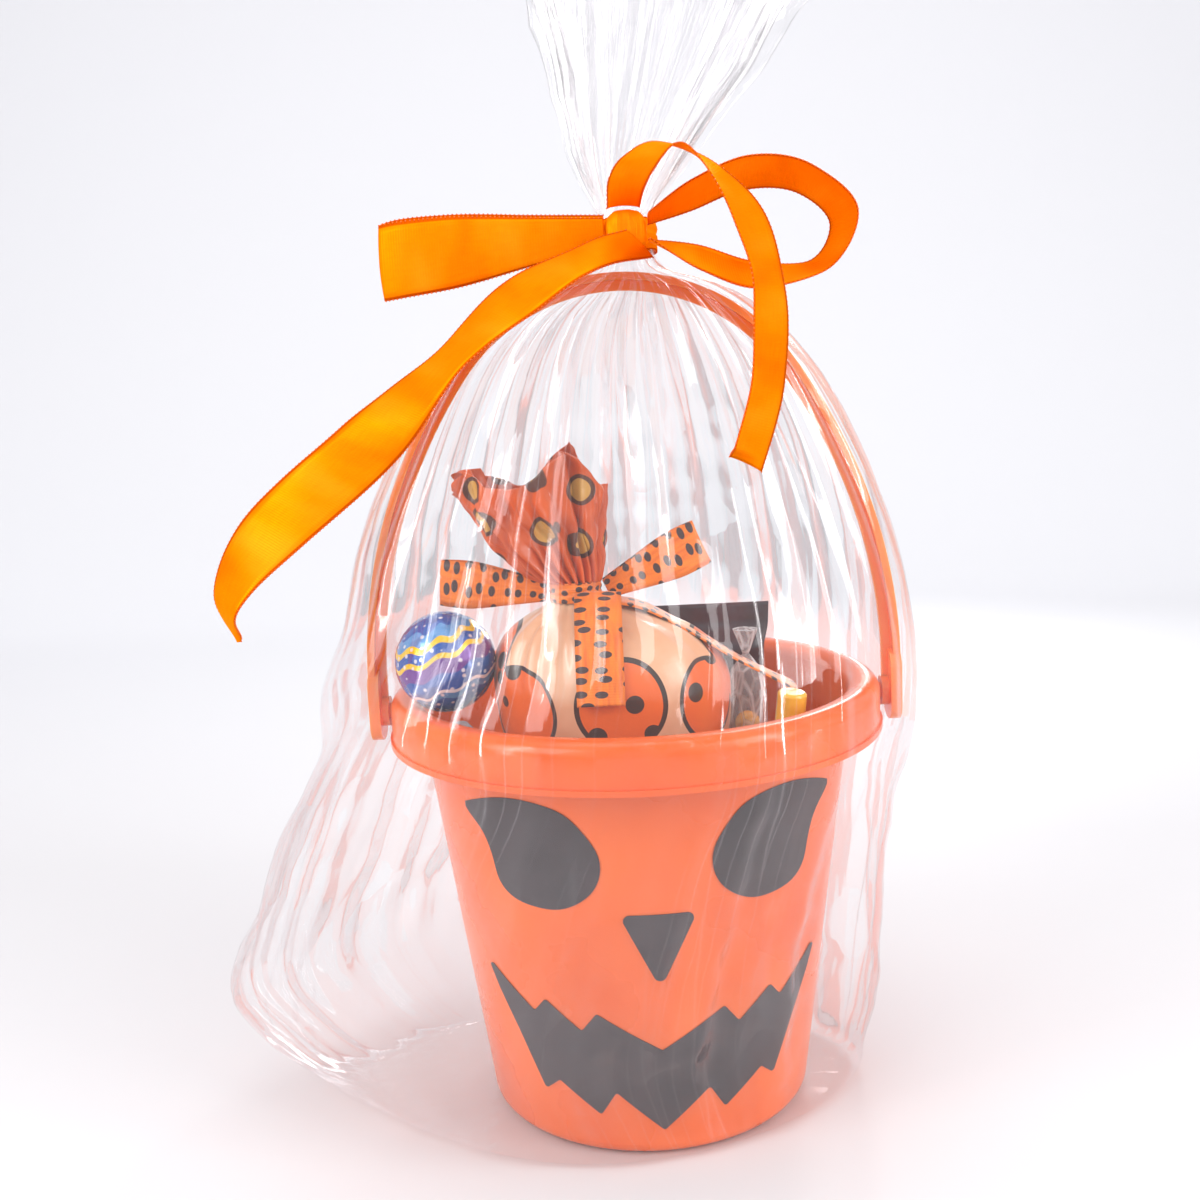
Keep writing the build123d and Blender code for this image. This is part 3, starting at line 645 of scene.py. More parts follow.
def ribbonPiece(name, first, second, width, thickness, finish, rows=150, columns=9, cup=0.9, sway=1.1,
                turned=None, picoted=False):
    # ribbon between two long edges given in mm, slightly cupped and swaying along its length
    a, b = smoothLine(first, rows), smoothLine(second, rows)
    if turned:
        b = fullWidth(a, b, width, turned)
    share = np.linspace(0, 1, columns)[None, :, None]
    grid = a[:, None] * (1 - share) + b[:, None] * share
    ahead = np.gradient(grid.mean(1), axis=0)[:, None]
    normal = np.cross(ahead, (b - a)[:, None])
    normal = normal / (np.linalg.norm(normal, axis=-1, keepdims=True) + 1e-9)
    crown = (1 - (2 * share - 1) ** 2) * cup
    wave = sway * noiseOf(grid, 1 / 22)[..., None]
    ends = np.sin(np.linspace(0, math.pi, rows))[:, None, None] ** 0.5
    grid = grid + normal * (crown + wave * ends)
    steps = np.linalg.norm(np.diff(grid.mean(1), axis=0), axis=-1)
    along = np.concatenate([[0], np.cumsum(steps)])
    uv = np.stack(np.meshgrid(np.linspace(0, width, columns), along), -1) * mm
    if picoted:
        ribbonEdges.extend([grid[:, 0] * mm, grid[:, -1] * mm])
    obj = gridPiece(name, grid * mm, False, uv)
    dress(obj, finish)
    thicken(obj, thickness * mm)
    obj["flatLength"] = float(along[-1]) * mm
    return obj


def placed(shares, scale, origin):
    return [tuple(o + s * k for s, k, o in zip(share, scale, origin)) for share in shares]


bowLoops = {
    "leftLength": 76,
    "leftGap": 5.4,
    "leftDrop": 6.5,
    "pinch": 9,
    "rightReach": 68,
    "rightHeight": 42,
    "near": [
        (0.0, -1.0, 0.10), (0.22, -1.0, 0.33), (0.48, -1.0, 0.49), (0.75, -1.0, 0.40), (0.98, -1.0, 0.05),
        (0.86, -1.0, -0.38), (0.52, -1.0, -0.51), (0.24, -1.0, -0.36), (0.0, -1.0, -0.10),
    ],
    "far": [
        (0.0, 0.0, 0.06), (0.22, 0.0, 0.15), (0.48, 0.0, 0.29), (0.74, 0.0, 0.26), (0.91, 0.0, 0.0),
        (0.80, 0.0, -0.30), (0.50, 0.0, -0.26), (0.24, 0.0, -0.12), (0.0, 0.0, -0.06),
    ],
}
bowTails = {
    # shares of the length over which a tail opens from the knot, and closes to its slanting end
    "leftTurned": (0.22, 0.14),
    "rightTurned": (0.30, 0.02),
    "leftScale": (146, 10, 132),
    "leftUpper": [
        (0.0, 0.0, 0.0), (-0.10, -0.1, -0.03), (-0.30, -0.3, -0.13), (-0.45, -0.45, -0.28),
        (-0.68, -0.7, -0.46), (-0.90, -0.9, -0.66), (-1.0, -1.0, -0.86), (-0.96, -0.85, -1.0),
    ],
    "leftLower": [
        (0.06, 0.0, -0.07), (-0.06, -0.1, -0.10), (-0.20, -0.3, -0.19), (-0.36, -0.5, -0.31),
        (-0.53, -0.8, -0.53), (-0.76, -1.0, -0.74), (-0.90, -0.9, -0.88), (-0.95, -0.75, -1.0),
    ],
    "rightScale": (50, 24, 88),
    "rightOuter": [
        (-0.12, 0.0, 0.0), (-0.10, -0.2, 0.10), (0.0, -0.5, 0.17), (0.22, -0.8, 0.20), (0.58, -1.0, 0.11),
        (0.88, -1.1, -0.07), (1.0, -1.15, -0.36), (0.97, -1.25, -0.70), (0.80, -1.5, -1.0),
    ],
    "rightInner": [
        (0.10, 0.0, 0.0), (0.14, -0.3, 0.06), (0.24, -0.7, 0.12), (0.36, -1.2, 0.15), (0.50, -1.5, 0.06),
        (0.64, -1.6, -0.10), (0.75, -1.65, -0.36), (0.72, -1.8, -0.67), (0.58, -2.0, -0.93),
    ],
}


def makeBow():
    finish = satinFinish()
    size = (knotHigh - knotLow) / mm
    # left loop: out along the front, round its end and back behind
    half, gap = bowLoops["pinch"] / 2, bowLoops["leftGap"]
    start = knot.x - size.x / 2 - 0.4
    upper, lower = [], []
    for share, side in ((0, -0.5), (0.14, -0.55), (0.35, -0.6), (0.65, -0.55), (0.90, -0.5), (1.0, 0.0),
                        (0.90, 0.5), (0.65, 0.55), (0.35, 0.6), (0.14, 0.5), (0, 0.4)):
        tall = half + (satin["width"] / 2 - half) * min(1, share * 1.35)
        drop = bowLoops["leftDrop"] * share
        behind = 1.5 if side > 0.1 else 0
        x, y = start - share * bowLoops["leftLength"], knot.y + side * gap
        upper.append((x, y, knot.z + tall - drop + behind))
        lower.append((x, y, knot.z - tall - drop + behind))
    cut = (satin["width"], satin["thickness"], finish)
    leftLoop = ribbonPiece("ribbon_left_loop_satin", upper, lower, *cut, 190, picoted=True)
    # right loop: open, its near edge wider than its far one
    scale = (bowLoops["rightReach"], satin["width"], bowLoops["rightHeight"])
    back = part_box("ribbon_right_loop")[1].y / mm
    origin = (knot.x + size.x / 2 + 0.8, back, knot.z)
    near, far = placed(bowLoops["near"], scale, origin), placed(bowLoops["far"], scale, origin)
    rightLoop = ribbonPiece("ribbon_right_loop_satin", near, far, *cut, 170, picoted=True)
    # tails
    front = knot.y - size.y / 2 - 0.4
    origin = (knot.x, front, knot.z)
    upper = placed(bowTails["leftUpper"], bowTails["leftScale"], origin)
    lower = placed(bowTails["leftLower"], bowTails["leftScale"], origin)
    leftTail = ribbonPiece("ribbon_left_tail_satin", upper, lower, *cut, 200,
                           turned=bowTails["leftTurned"], picoted=True)
    origin = (knot.x, knot.y - 0.4, knot.z + size.z / 2 + 0.4)
    outer = placed(bowTails["rightOuter"], bowTails["rightScale"], origin)
    inner = placed(bowTails["rightInner"], bowTails["rightScale"], origin)
    rightTail = ribbonPiece("ribbon_right_tail_satin", outer, inner, *cut, 180,
                            turned=bowTails["rightTurned"], picoted=True)
    pieces = (
        (leftLoop, "ribbon_left_loop", "folded"),
        (rightLoop, "ribbon_right_loop", "folded"),
        (leftTail, "ribbon_left_tail", "hung"),
        (rightTail, "ribbon_right_tail", "hung"),
    )
    for obj, node, held in pieces:
        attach(obj, "bail")
        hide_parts(node)
    return finish


def makeKnot(finish):
    # gathered lump of ribbon with folds that run over it
    rows, cols = 48, 72
    size = (knotHigh - knotLow) / mm / 2
    tilt = np.linspace(-math.pi / 2, math.pi / 2, rows)[:, None]
    angle = turnAngles(cols)

    def soft(v):
        return np.sign(v) * np.abs(v) ** 0.75
    grid = np.stack([
        size.x * 1.05 * soft(np.cos(tilt)) * soft(np.cos(angle)),
        size.y * soft(np.cos(tilt)) * soft(np.sin(angle)),
        size.z * soft(np.sin(tilt)) + 0 * angle,
    ], -1)
    fold = 0.45 * zigzag(grid[..., 0] / 4.2 + 0.16 * grid[..., 2] / 4 + 0.3 * noiseOf(grid, 0.2))
    grid = grid * (1 - 0.04 + 0.07 * fold[..., None] * np.cos(tilt)[..., None])
    uv = np.stack(np.meshgrid(np.linspace(0, 40, cols + 1), np.linspace(2, 23, rows)), -1)[..., ::-1] * mm
    obj = gridPiece("ribbon_knot_satin", (grid + np.array(knot)) * mm, True, uv)
    weld(obj, True)
    dress(obj, finish)
    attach(obj, "bail")
    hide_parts("ribbon_knot")


def makeCollar(finish):
    # turn of ribbon round the film's neck, bunched into folds
    rows, cols = 18, 120
    middle = (collarLow + collarHigh) / 2 / mm
    reach = (collarHigh.x - collarLow.x) / 2 / mm
    tall = (collarHigh.z - collarLow.z) / 2 / mm
    rise = np.linspace(-1, 1, rows)[:, None]
    angle = turnAngles(cols)
    fold = zigzag(1.6 * rise + 0.5 * np.sin(2 * angle))
    radius = reach - 0.5 + 0.4 * fold * (1 - rise ** 2)
    grid = np.stack([
        middle.x + radius * np.cos(angle),
        middle.y + radius * np.sin(angle),
        middle.z + tall * rise * (0.9 + 0.1 * np.sin(3 * angle)),
    ], -1)
    uv = np.stack(np.meshgrid(np.linspace(0, 70, cols + 1), np.linspace(0, 25, rows)), -1)[..., ::-1] * mm
    obj = gridPiece("ribbon_collar_satin", grid * mm, True, uv)
    dress(obj, finish)
    thicken(obj, 0.6 * mm)
    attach(obj, "bail")
    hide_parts("ribbon_collar")


picots = {
    "spacing": 1.5,
    "radius": 0.34,
}


def picotTree(finish):
    # small thread loops set along both edges of every ribbon
    tree = bpy.data.node_groups.new("picots", "GeometryNodeTree")
    tree.interface.new_socket("Geometry", in_out="INPUT", socket_type="NodeSocketGeometry")
    spacing = tree.interface.new_socket("Spacing", in_out="INPUT", socket_type="NodeSocketFloat")
    radius = tree.interface.new_socket("Radius", in_out="INPUT", socket_type="NodeSocketFloat")
    tree.interface.new_socket("Geometry", in_out="OUTPUT", socket_type="NodeSocketGeometry")
    entry, leave = tree.nodes.new("NodeGroupInput"), tree.nodes.new("NodeGroupOutput")
    points = tree.nodes.new("GeometryNodeCurveToPoints")
    points.mode = "LENGTH"
    bead = tree.nodes.new("GeometryNodeMeshIcoSphere")
    bead.inputs["Subdivisions"].default_value = 1
    spread = tree.nodes.new("GeometryNodeInstanceOnPoints")
    real = tree.nodes.new("GeometryNodeRealizeInstances")
    paint = tree.nodes.new("GeometryNodeSetMaterial")
    paint.inputs["Material"].default_value = finish
    links = tree.links
    links.new(entry.outputs["Geometry"], points.inputs["Curve"])
    links.new(entry.outputs["Spacing"], points.inputs["Length"])
    links.new(entry.outputs["Radius"], bead.inputs["Radius"])
    links.new(points.outputs["Points"], spread.inputs["Points"])
    links.new(bead.outputs["Mesh"], spread.inputs["Instance"])
    links.new(spread.outputs["Instances"], real.inputs["Geometry"])
    links.new(real.outputs["Geometry"], paint.inputs["Geometry"])
    links.new(paint.outputs["Geometry"], leave.inputs["Geometry"])
    return tree, spacing.identifier, radius.identifier


def threadFinish():
    finish, tree, shader = startFinish("ribbonThread")
    cloud = noiseTexture(tree, objectCoords(tree), 900, 2)
    tone = ramp(tree, cloud, [(0.3, satin["edge"]), (0.7, satin["shade"])])
    tree.links.new(tone, shader.inputs["Base Color"])
    shader.inputs["Roughness"].default_value = 0.55
    return finish


def makePicots():
    data = bpy.data.curves.new("picotLines", "CURVE")
    data.dimensions = "3D"
    for edge in ribbonEdges:
        line = data.splines.new("POLY")
        line.points.add(len(edge) - 1)
        for point, place in zip(line.points, edge):
            point.co = (*place, 1)
    lines = addPiece("picotLines", data)
    tree, spacing, radius = picotTree(threadFinish())
    maker = lines.modifiers.new("picots", "NODES")
    maker.node_group = tree
    maker[spacing] = picots["spacing"] * mm
    maker[radius] = picots["radius"] * mm
    graph = bpy.context.evaluated_depsgraph_get()
    mesh = bpy.data.meshes.new_from_object(lines.evaluated_get(graph))
    bpy.data.objects.remove(lines)
    obj = addPiece("ribbon_picots", mesh)
    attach(obj, "bail")
    print("picots", len(mesh.polygons), "faces")


satinCloth = makeBow()
makeKnot(satinCloth)
makeCollar(satinCloth)
makePicots()
print("satin bow made")


# Treat pouch and its printed ribbon

tieLow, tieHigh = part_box("pouch_tie")
tie = (tieLow + tieHigh) / 2 / mm
pouchLow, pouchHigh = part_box("treat_pouch")
flareLow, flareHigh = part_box("pouch_top")

pouch = {
    "rows": 120,
    "columns": 160,
    # share of the height, of the half width, and of the lean to the tied neck
    "sections": [
        (0.0, 0.02, 0.0), (0.0, 0.40, 0.0), (0.03, 0.52, 0.0), (0.20, 0.63, 0.0), (0.40, 0.75, 0.0),
        (0.60, 0.87, 0.0), (0.76, 0.97, 0.08), (0.84, 0.95, 0.2), (0.90, 0.76, 0.42), (0.935, 0.50, 0.66),
        (0.955, 0.28, 0.86), (0.975, 0.185, 1.0), (1.0, 0.185, 1.0),
    ],
    "pleats": 17,
    "cream": (0.72, 0.36, 0.19),
    "pearl": (0.84, 0.52, 0.33),
    "round": (0.82, 0.135, 0.006),
    "outline": (0.035, 0.014, 0.008),
}
pouchTop = {
    "neckRadius": 7.6,
    "gathers": 24,
    "gather": 2.2,
    "rows": 60,
    "columns": 220,
    "lobes": 7,
    "ruffle": 0.2,
    "foldDepth": 1.5,
    "foldWidth": 11,
    "leanRight": 2,
    "orange": (0.76, 0.115, 0.006),
    "dark": (0.10, 0.022, 0.006),
    "gold": (0.62, 0.33, 0.06),
}
pouchBow = {
    "width": 16,
    "thickness": 0.3,
    "pinch": 7,
    "gap": 4.4,
    "leftLength": 37,
    "leftTurn": 7,
    "rightLength": 37,
    "rightTurn": 24,
    "tailForward": 24,
    "tailDrop": 34,
    "streamerReach": 66,
    "streamerDrop": 34,
    "orange": (0.90, 0.22, 0.004),
    "dark": (0.05, 0.02, 0.02),
}


def pouchFinish():
    finish, tree, shader = startFinish("pouchFilm")
    coords = objectCoords(tree, tuple(tie * mm))
    cloud = noiseTexture(tree, coords, 45, 3)
    ground = ramp(tree, cloud, [(0.35, pouch["cream"]), (0.68, pouch["pearl"])])
    cells = cellTexture(tree, coords, 26, "F1", 0.55)
    disc = ramp(tree, cells, [(0.0, (1, 1, 1)), (0.40, (0, 0, 0))], "CONSTANT")
    ring = ramp(tree, cells, [(0.0, (0, 0, 0)), (0.385, (1, 1, 1)), (0.425, (0, 0, 0))], "CONSTANT")
    petals = cellTexture(tree, coords, 82, "F1", 0.8)
    petal = ramp(tree, petals, [(0.0, (1, 1, 1)), (0.27, (0, 0, 0))], "CONSTANT")
    inner = sums(tree, "MULTIPLY", disc, petal)
    paint = mixColours(tree, disc, ground, pouch["round"])
    paint = mixColours(tree, inner, paint, pouch["outline"])
    paint = mixColours(tree, ring, paint, pouch["outline"])
    tree.links.new(paint, shader.inputs["Base Color"])
    shader.inputs["Roughness"].default_value = 0.28
    shader.inputs["Sheen Weight"].default_value = 0.2
    shader.inputs["Coat Weight"].default_value = 0.5
    shader.inputs["Coat Roughness"].default_value = 0.15
    addBump(tree, shader, noiseTexture(tree, coords, 170, 4), 0.35, 0.8 * mm)
    return finish


def makePouch():
    rows, cols = pouch["rows"], pouch["columns"]
    level = smoothLine(pouch["sections"], rows)
    rise, width, lean = (level[:, k][:, None] for k in range(3))
    halfX = (pouchHigh.x - pouchLow.x) / 2 / mm
    halfY = (pouchHigh.y - pouchLow.y) / 2 / mm
    centreX = (pouchHigh.x + pouchLow.x) / 2 / mm
    centreY = (pouchHigh.y + pouchLow.y) / 2 / mm
    bottom, top = pouchLow.z / mm, pouchHigh.z / mm
    angle = turnAngles(cols)
    deep = np.minimum(width * halfY, halfY)
    neck = np.clip((rise - 0.78) / 0.16, 0, 1)
    fold = zigzag(pouch["pleats"] * angle / fullTurn + 0.5 * np.sin(3 * angle))
    swell = 1 - 0.018 + neck * 0.055 * fold * (0.4 + 0.6 * np.sin(2.5 * angle + 1) ** 2)
    x = centreX + lean * (tie.x - centreX) + width * halfX * swell * np.cos(angle)
    y = centreY + deep * swell * np.sin(angle)
    z = bottom + 0.1 + rise * (top - bottom - 0.2) + 0 * angle
    grid = np.stack([x, y, z], -1)
    body = np.clip((rise - 0.1) / 0.2, 0, 1) * np.clip((0.95 - rise) / 0.1, 0, 1)
    dent = noiseOf(grid, 1 / 24)
    inward = np.stack([np.cos(angle) + 0 * z, np.sin(angle) + 0 * z, 0 * z], -1)
    grid = grid + inward * ((1.3 * dent - 1.4) * body)[..., None]
    obj = gridPiece("treat_pouch_film", grid * mm, True)
    weld(obj, True)
    dress(obj, pouchFinish())
    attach(obj, "pail")
    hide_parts("treat_pouch")


def flareFinish():
    finish, tree, shader = startFinish("pouchTopFilm")
    coords = objectCoords(tree, tuple(tie * mm))
    cloud = noiseTexture(tree, coords, 60, 3)
    ground = ramp(tree, cloud, [(0.3, (0.55, 0.075, 0.004)), (0.65, pouchTop["orange"])])
    cells = cellTexture(tree, coords, 62, "F1", 0.7)
    leaf = ramp(tree, cells, [(0.0, (1, 1, 1)), (0.24, (0, 0, 0))], "CONSTANT")
    ring = ramp(tree, cells, [(0.0, (0, 0, 0)), (0.24, (1, 1, 1)), (0.33, (0, 0, 0))], "CONSTANT")
    paint = mixColours(tree, leaf, ground, pouchTop["gold"])
    paint = mixColours(tree, ring, paint, pouchTop["dark"])
    tree.links.new(paint, shader.inputs["Base Color"])
    shader.inputs["Roughness"].default_value = 0.3
    shader.inputs["Coat Weight"].default_value = 0.4
    addBump(tree, shader, noiseTexture(tree, coords, 220, 4), 0.4, 0.7 * mm)
    return finish


def makePouchTop():
    rows, cols = pouchTop["rows"], pouchTop["columns"]
    rise = np.linspace(0, 1, rows)[:, None]
    angle = turnAngles(cols)
    halfX = (flareHigh.x - flareLow.x) / 2 / mm
    halfY = (flareHigh.y - flareLow.y) / 2 / mm
    neckRadius = pouchTop["neckRadius"]
    side = np.cos(angle)
    spread = rise ** (0.62 + 0.22 * side)
    topX = (flareLow.x + flareHigh.x) / 2 / mm - pouchTop["leanRight"]
    ruffle = 0.5 * zigzag(pouchTop["lobes"] * angle / fullTurn + 0.1)
    ruffle = ruffle + 0.35 * np.sin(11 * angle + 2) + 0.3 * zigzag(19 * angle / fullTurn)
    swell = 1 + pouchTop["ruffle"] * ruffle * np.minimum(1, rise * 2)
    centreX = tie.x + (topX - tie.x) * rise ** 0.9
    # fuller towards its two ends than an ellipse
    full = np.sign(np.sin(angle)) * np.abs(np.sin(angle)) ** 0.6
    x = centreX + (neckRadius + spread * (halfX * 0.9 - neckRadius)) * swell * side
    y = tie.y + (neckRadius + spread * (halfY * 0.9 - neckRadius)) * swell * full
    peak = 0.58 + 0.26 * np.exp(-((side + 0.72) / 0.36) ** 2) + 0.38 * np.exp(-((side - 0.42) / 0.42) ** 2)
    peak = peak + 0.05 * np.sin(7 * angle + 1.2)
    z = flareLow.z / mm - 1.0 + rise * peak * (flareHigh.z - flareLow.z) / mm
    grid = np.stack([x, y, z], -1)
    # gathers of the drawn-in film, deepest at the neck
    gather = pouchTop["gather"] * (1 - 0.75 * rise) * zigzag(pouchTop["gathers"] * angle / fullTurn)
    grid[..., 0] += gather * side
    grid[..., 1] += gather * np.sin(angle)
    rumple = noiseOf(grid, 1 / 12) * 2.8 + noiseOf(grid + 90, 1 / 6) * 1.5
    grid = grid + (rumple * np.minimum(1, rise * 2.5))[..., None] * np.array([0.8, 0.6, 0.3])
    # upright folds that catch the light
    upright = zigzag(x / pouchTop["foldWidth"] + 0.3 * rise)
    grid[..., 1] += pouchTop["foldDepth"] * np.minimum(1, rise * 2) * upright
    obj = gridPiece("pouch_top_film", grid * mm, True)
    dress(obj, flareFinish())
    thicken(obj, 0.3 * mm)
    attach(obj, "pail")
    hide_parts("pouch_top")


def printFinish():
    finish, tree, shader = startFinish("printedRibbon")
    weave = noiseTexture(tree, mapCoords(tree, (700, 120, 1)), 1.0, 3)
    cloth = ramp(tree, weave, [(0.3, (0.72, 0.13, 0.003)), (0.62, pouchBow["orange"])])
    marks = cellTexture(tree, mapCoords(tree, (125, 230, 1)), 1.0, "F1", 0.45, "2D")
    mark = ramp(tree, marks, [(0.0, (1, 1, 1)), (0.27, (0, 0, 0))], "CONSTANT")
    tree.links.new(mixColours(tree, mark, cloth, pouchBow["dark"]), shader.inputs["Base Color"])
    split = put(tree, "ShaderNodeSeparateXYZ")
    tree.links.new(mapCoords(tree), split.inputs["Vector"])
    ribs = sums(tree, "SINE", sums(tree, "MULTIPLY", split.outputs["Y"], fullTurn / (0.9 * mm)))
    addBump(tree, shader, ribs, 0.2, 0.1 * mm)
    shader.inputs["Roughness"].default_value = 0.42
    shader.inputs["Sheen Weight"].default_value = 0.2
    return finish


def pouchLoop(name, length, side, turn, finish):
    # flat loop from the tie, gathered at its start
    half, tilt = pouchBow["pinch"] / 2, math.radians(turn)
    upper, lower = [], []
    start = (tieHigh.x - tieLow.x) / 2 / mm + 0.2 + half * math.sin(tilt)
    for share, across in ((0, -0.4), (0.3, -0.6), (0.7, -0.6), (1.0, 0.0), (0.7, 0.6), (0.3, 0.6), (0, 0.4)):
        tall = half + (pouchBow["width"] / 2 - half) * min(1, 1.4 * share)
        for edge, up in ((upper, tall), (lower, -tall)):
            out = start + share * length * math.cos(tilt) - up * math.sin(tilt)
            z = tie.z + share * length * math.sin(tilt) + up * math.cos(tilt)
            edge.append((tie.x + side * out, tie.y + across * pouchBow["gap"], z))
    cut = (pouchBow["width"], pouchBow["thickness"], finish)
    return ribbonPiece(name, upper, lower, *cut, 90, 7, 0.3, 0.8)


def makePouchBow():
    finish = printFinish()
    left = pouchLoop("pouch_left_loop_print", pouchBow["leftLength"], -1, pouchBow["leftTurn"], finish)
    right = pouchLoop("pouch_right_loop_print", pouchBow["rightLength"], 1, pouchBow["rightTurn"], finish)
    half = pouchBow["width"] / 2
    tailLow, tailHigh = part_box("pouch_front_tail")
    front = tailHigh.y / mm
    middle = (tailLow.x + tailHigh.x) / 2 / mm
    drops = ((0.0, 0.0), (0.30, 0.12), (0.72, 0.45), (1.0, 1.0))
    line = [(front - f * pouchBow["tailForward"], tie.z - d * pouchBow["tailDrop"]) for f, d in drops]
    first = [(middle - half, y, z) for y, z in line]
    second = [(middle + half, y, z) for y, z in line]
    cut = (pouchBow["width"], pouchBow["thickness"], finish)
    tail = ribbonPiece("pouch_front_tail_print", first, second, *cut, 60, 7, 0.6, 0.8)
    streamLow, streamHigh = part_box("pouch_streamer")
    falls = ((0.0, 0.0), (0.22, 0.10), (0.50, 0.42), (0.73, 0.72), (1.0, 1.0))
    begin, high = streamLow.x / mm + 0.2, streamHigh.z / mm - 0.3
    line = [(begin + a * pouchBow["streamerReach"], high - d * pouchBow["streamerDrop"]) for a, d in falls]
    first = [(x, tie.y - half, z) for x, z in line]
    second = [(x, tie.y + half, z) for x, z in line]
    streamer = ribbonPiece("pouch_streamer_print", first, second, *cut, 80, 7, 0.4, 0.8)
    pieces = (
        (left, "pouch_left_loop", "folded"),
        (right, "pouch_right_loop", "folded"),
        (tail, "pouch_front_tail", "hung"),
        (streamer, "pouch_streamer", "hung"),
    )
    for obj, node, held in pieces:
        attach(obj, "pail")
        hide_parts(node)
    # tie round the neck
    rows, cols = 14, 96
    rise = np.linspace(-1, 1, rows)[:, None]
    angle = turnAngles(cols)
    reach = (tieHigh.x - tieLow.x) / 2 / mm - 0.4
    tall = (tieHigh.z - tieLow.z) / 2 / mm
    radius = reach + 0.3 * zigzag(1.5 * rise + 0.4 * np.sin(2 * angle)) * (1 - rise ** 2)
    x, y = tie.x + radius * np.cos(angle), tie.y + radius * np.sin(angle)
    grid = np.stack([x, y, tie.z + tall * rise + 0 * angle], -1)
    uv = np.stack(np.meshgrid(np.linspace(0, 58, cols + 1), np.linspace(0, 16, rows)), -1)[..., ::-1] * mm
    obj = gridPiece("pouch_tie_print", grid * mm, True, uv)
    dress(obj, finish)
    thicken(obj, 0.5 * mm)
    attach(obj, "pail")
    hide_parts("pouch_tie")


makePouch()
makePouchTop()
makePouchBow()
print("treat pouch made")


# Wrapped sweets

ball = {
    "blue": (0.02, 0.10, 0.42),
    "sky": (0.10, 0.30, 0.62),
    "purple": (0.16, 0.045, 0.30),
    "yellow": (0.86, 0.56, 0.02),
    "white": (0.80, 0.80, 0.84),
}


def foilFinish():
    low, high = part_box("foil_ball")
    centre, radius = (low + high) / 2, (high.z - low.z) / 2
    finish, tree, shader = startFinish("ballFoil")
    coords = objectCoords(tree, tuple(centre), (1 / radius,) * 3)
    split = put(tree, "ShaderNodeSeparateXYZ")
    tree.links.new(coords, split.inputs["Vector"])
    turn = sums(tree, "ARCTAN2", split.outputs["Y"], split.outputs["X"])
    wave = sums(tree, "MULTIPLY", sums(tree, "SINE", sums(tree, "MULTIPLY", turn, 9)), 0.05)
    tilt = sums(tree, "ADD", split.outputs["Z"], sums(tree, "MULTIPLY", split.outputs["X"], -0.35))
    height = sums(tree, "ADD", sums(tree, "MULTIPLY", sums(tree, "ADD", tilt, wave), 0.5), 0.5)
    bands = ramp(tree, height, [
        (0.0, ball["blue"]), (0.20, ball["sky"]), (0.26, ball["white"]), (0.29, ball["blue"]),
        (0.46, ball["purple"]), (0.60, ball["yellow"]), (0.65, ball["blue"]), (0.74, ball["yellow"]),
        (0.80, ball["sky"]), (0.90, ball["blue"]),
    ], "CONSTANT")
    dots = cellTexture(tree, coords, 5.5, "F1", 0.5)
    spot = ramp(tree, dots, [(0.0, (1, 1, 1)), (0.22, (0, 0, 0))], "CONSTANT")
    paint = mixColours(tree, sums(tree, "MULTIPLY", spot, 0.8), bands, ball["white"])
    tree.links.new(paint, shader.inputs["Base Color"])
    shader.inputs["Metallic"].default_value = 0.25
    shader.inputs["Roughness"].default_value = 0.18
    shader.inputs["Coat Weight"].default_value = 0.5
    addBump(tree, shader, noiseTexture(tree, coords, 9, 4), 0.3, 0.6 * mm)
    return finish


def makeBall():
    low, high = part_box("foil_ball")
    centre, radius = (low + high) / 2 / mm, (high.z - low.z) / 2 / mm
    rows, cols = 64, 112
    tilt = np.linspace(-math.pi / 2, math.pi / 2, rows)[:, None]
    angle = turnAngles(cols)
    way = np.stack([np.cos(tilt) * np.cos(angle), np.cos(tilt) * np.sin(angle), np.sin(tilt) + 0 * angle], -1)
    gather = np.clip(-np.sin(tilt) - 0.35, 0, 1)
    pleat = 0.5 * gather * zigzag(20 * angle / fullTurn)
    crinkle = 0.22 * (1 - 2 * np.abs(noiseOf(way, 5)))
    grid = way * (radius - 0.5 + pleat * np.cos(tilt) + crinkle)[..., None] + np.array(centre)
    obj = gridPiece("foil_ball_wrap", grid * mm, True)
    weld(obj, True)
    dress(obj, foilFinish())
    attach(obj, "pail")
    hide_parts("foil_ball")


wraps = {
    # dark and light of the wrapper, crinkle scale
    "maroon_bar": ((0.055, 0.008, 0.014), (0.16, 0.02, 0.035), 90),
    "dark_bar": ((0.020, 0.011, 0.017), (0.085, 0.040, 0.052), 80),
    "yellow_stick": ((0.80, 0.38, 0.01), (0.94, 0.56, 0.03), 120),
    "blue_stick": ((0.02, 0.11, 0.38), (0.10, 0.30, 0.62), 120),
}


def wrapFinish(name, dark, light, scale):
    finish, tree, shader = startFinish(name + "Wrapper")
    coords = objectCoords(tree)
    cloud = noiseTexture(tree, coords, 40, 4)
    tree.links.new(ramp(tree, cloud, [(0.35, dark), (0.68, light)]), shader.inputs["Base Color"])
    shader.inputs["Roughness"].default_value = 0.2
    shader.inputs["Coat Weight"].default_value = 0.4
    creases = cellTexture(tree, coords, scale, "DISTANCE_TO_EDGE")
    addBump(tree, shader, creases, 0.5, 1.0 * mm)
    return finish


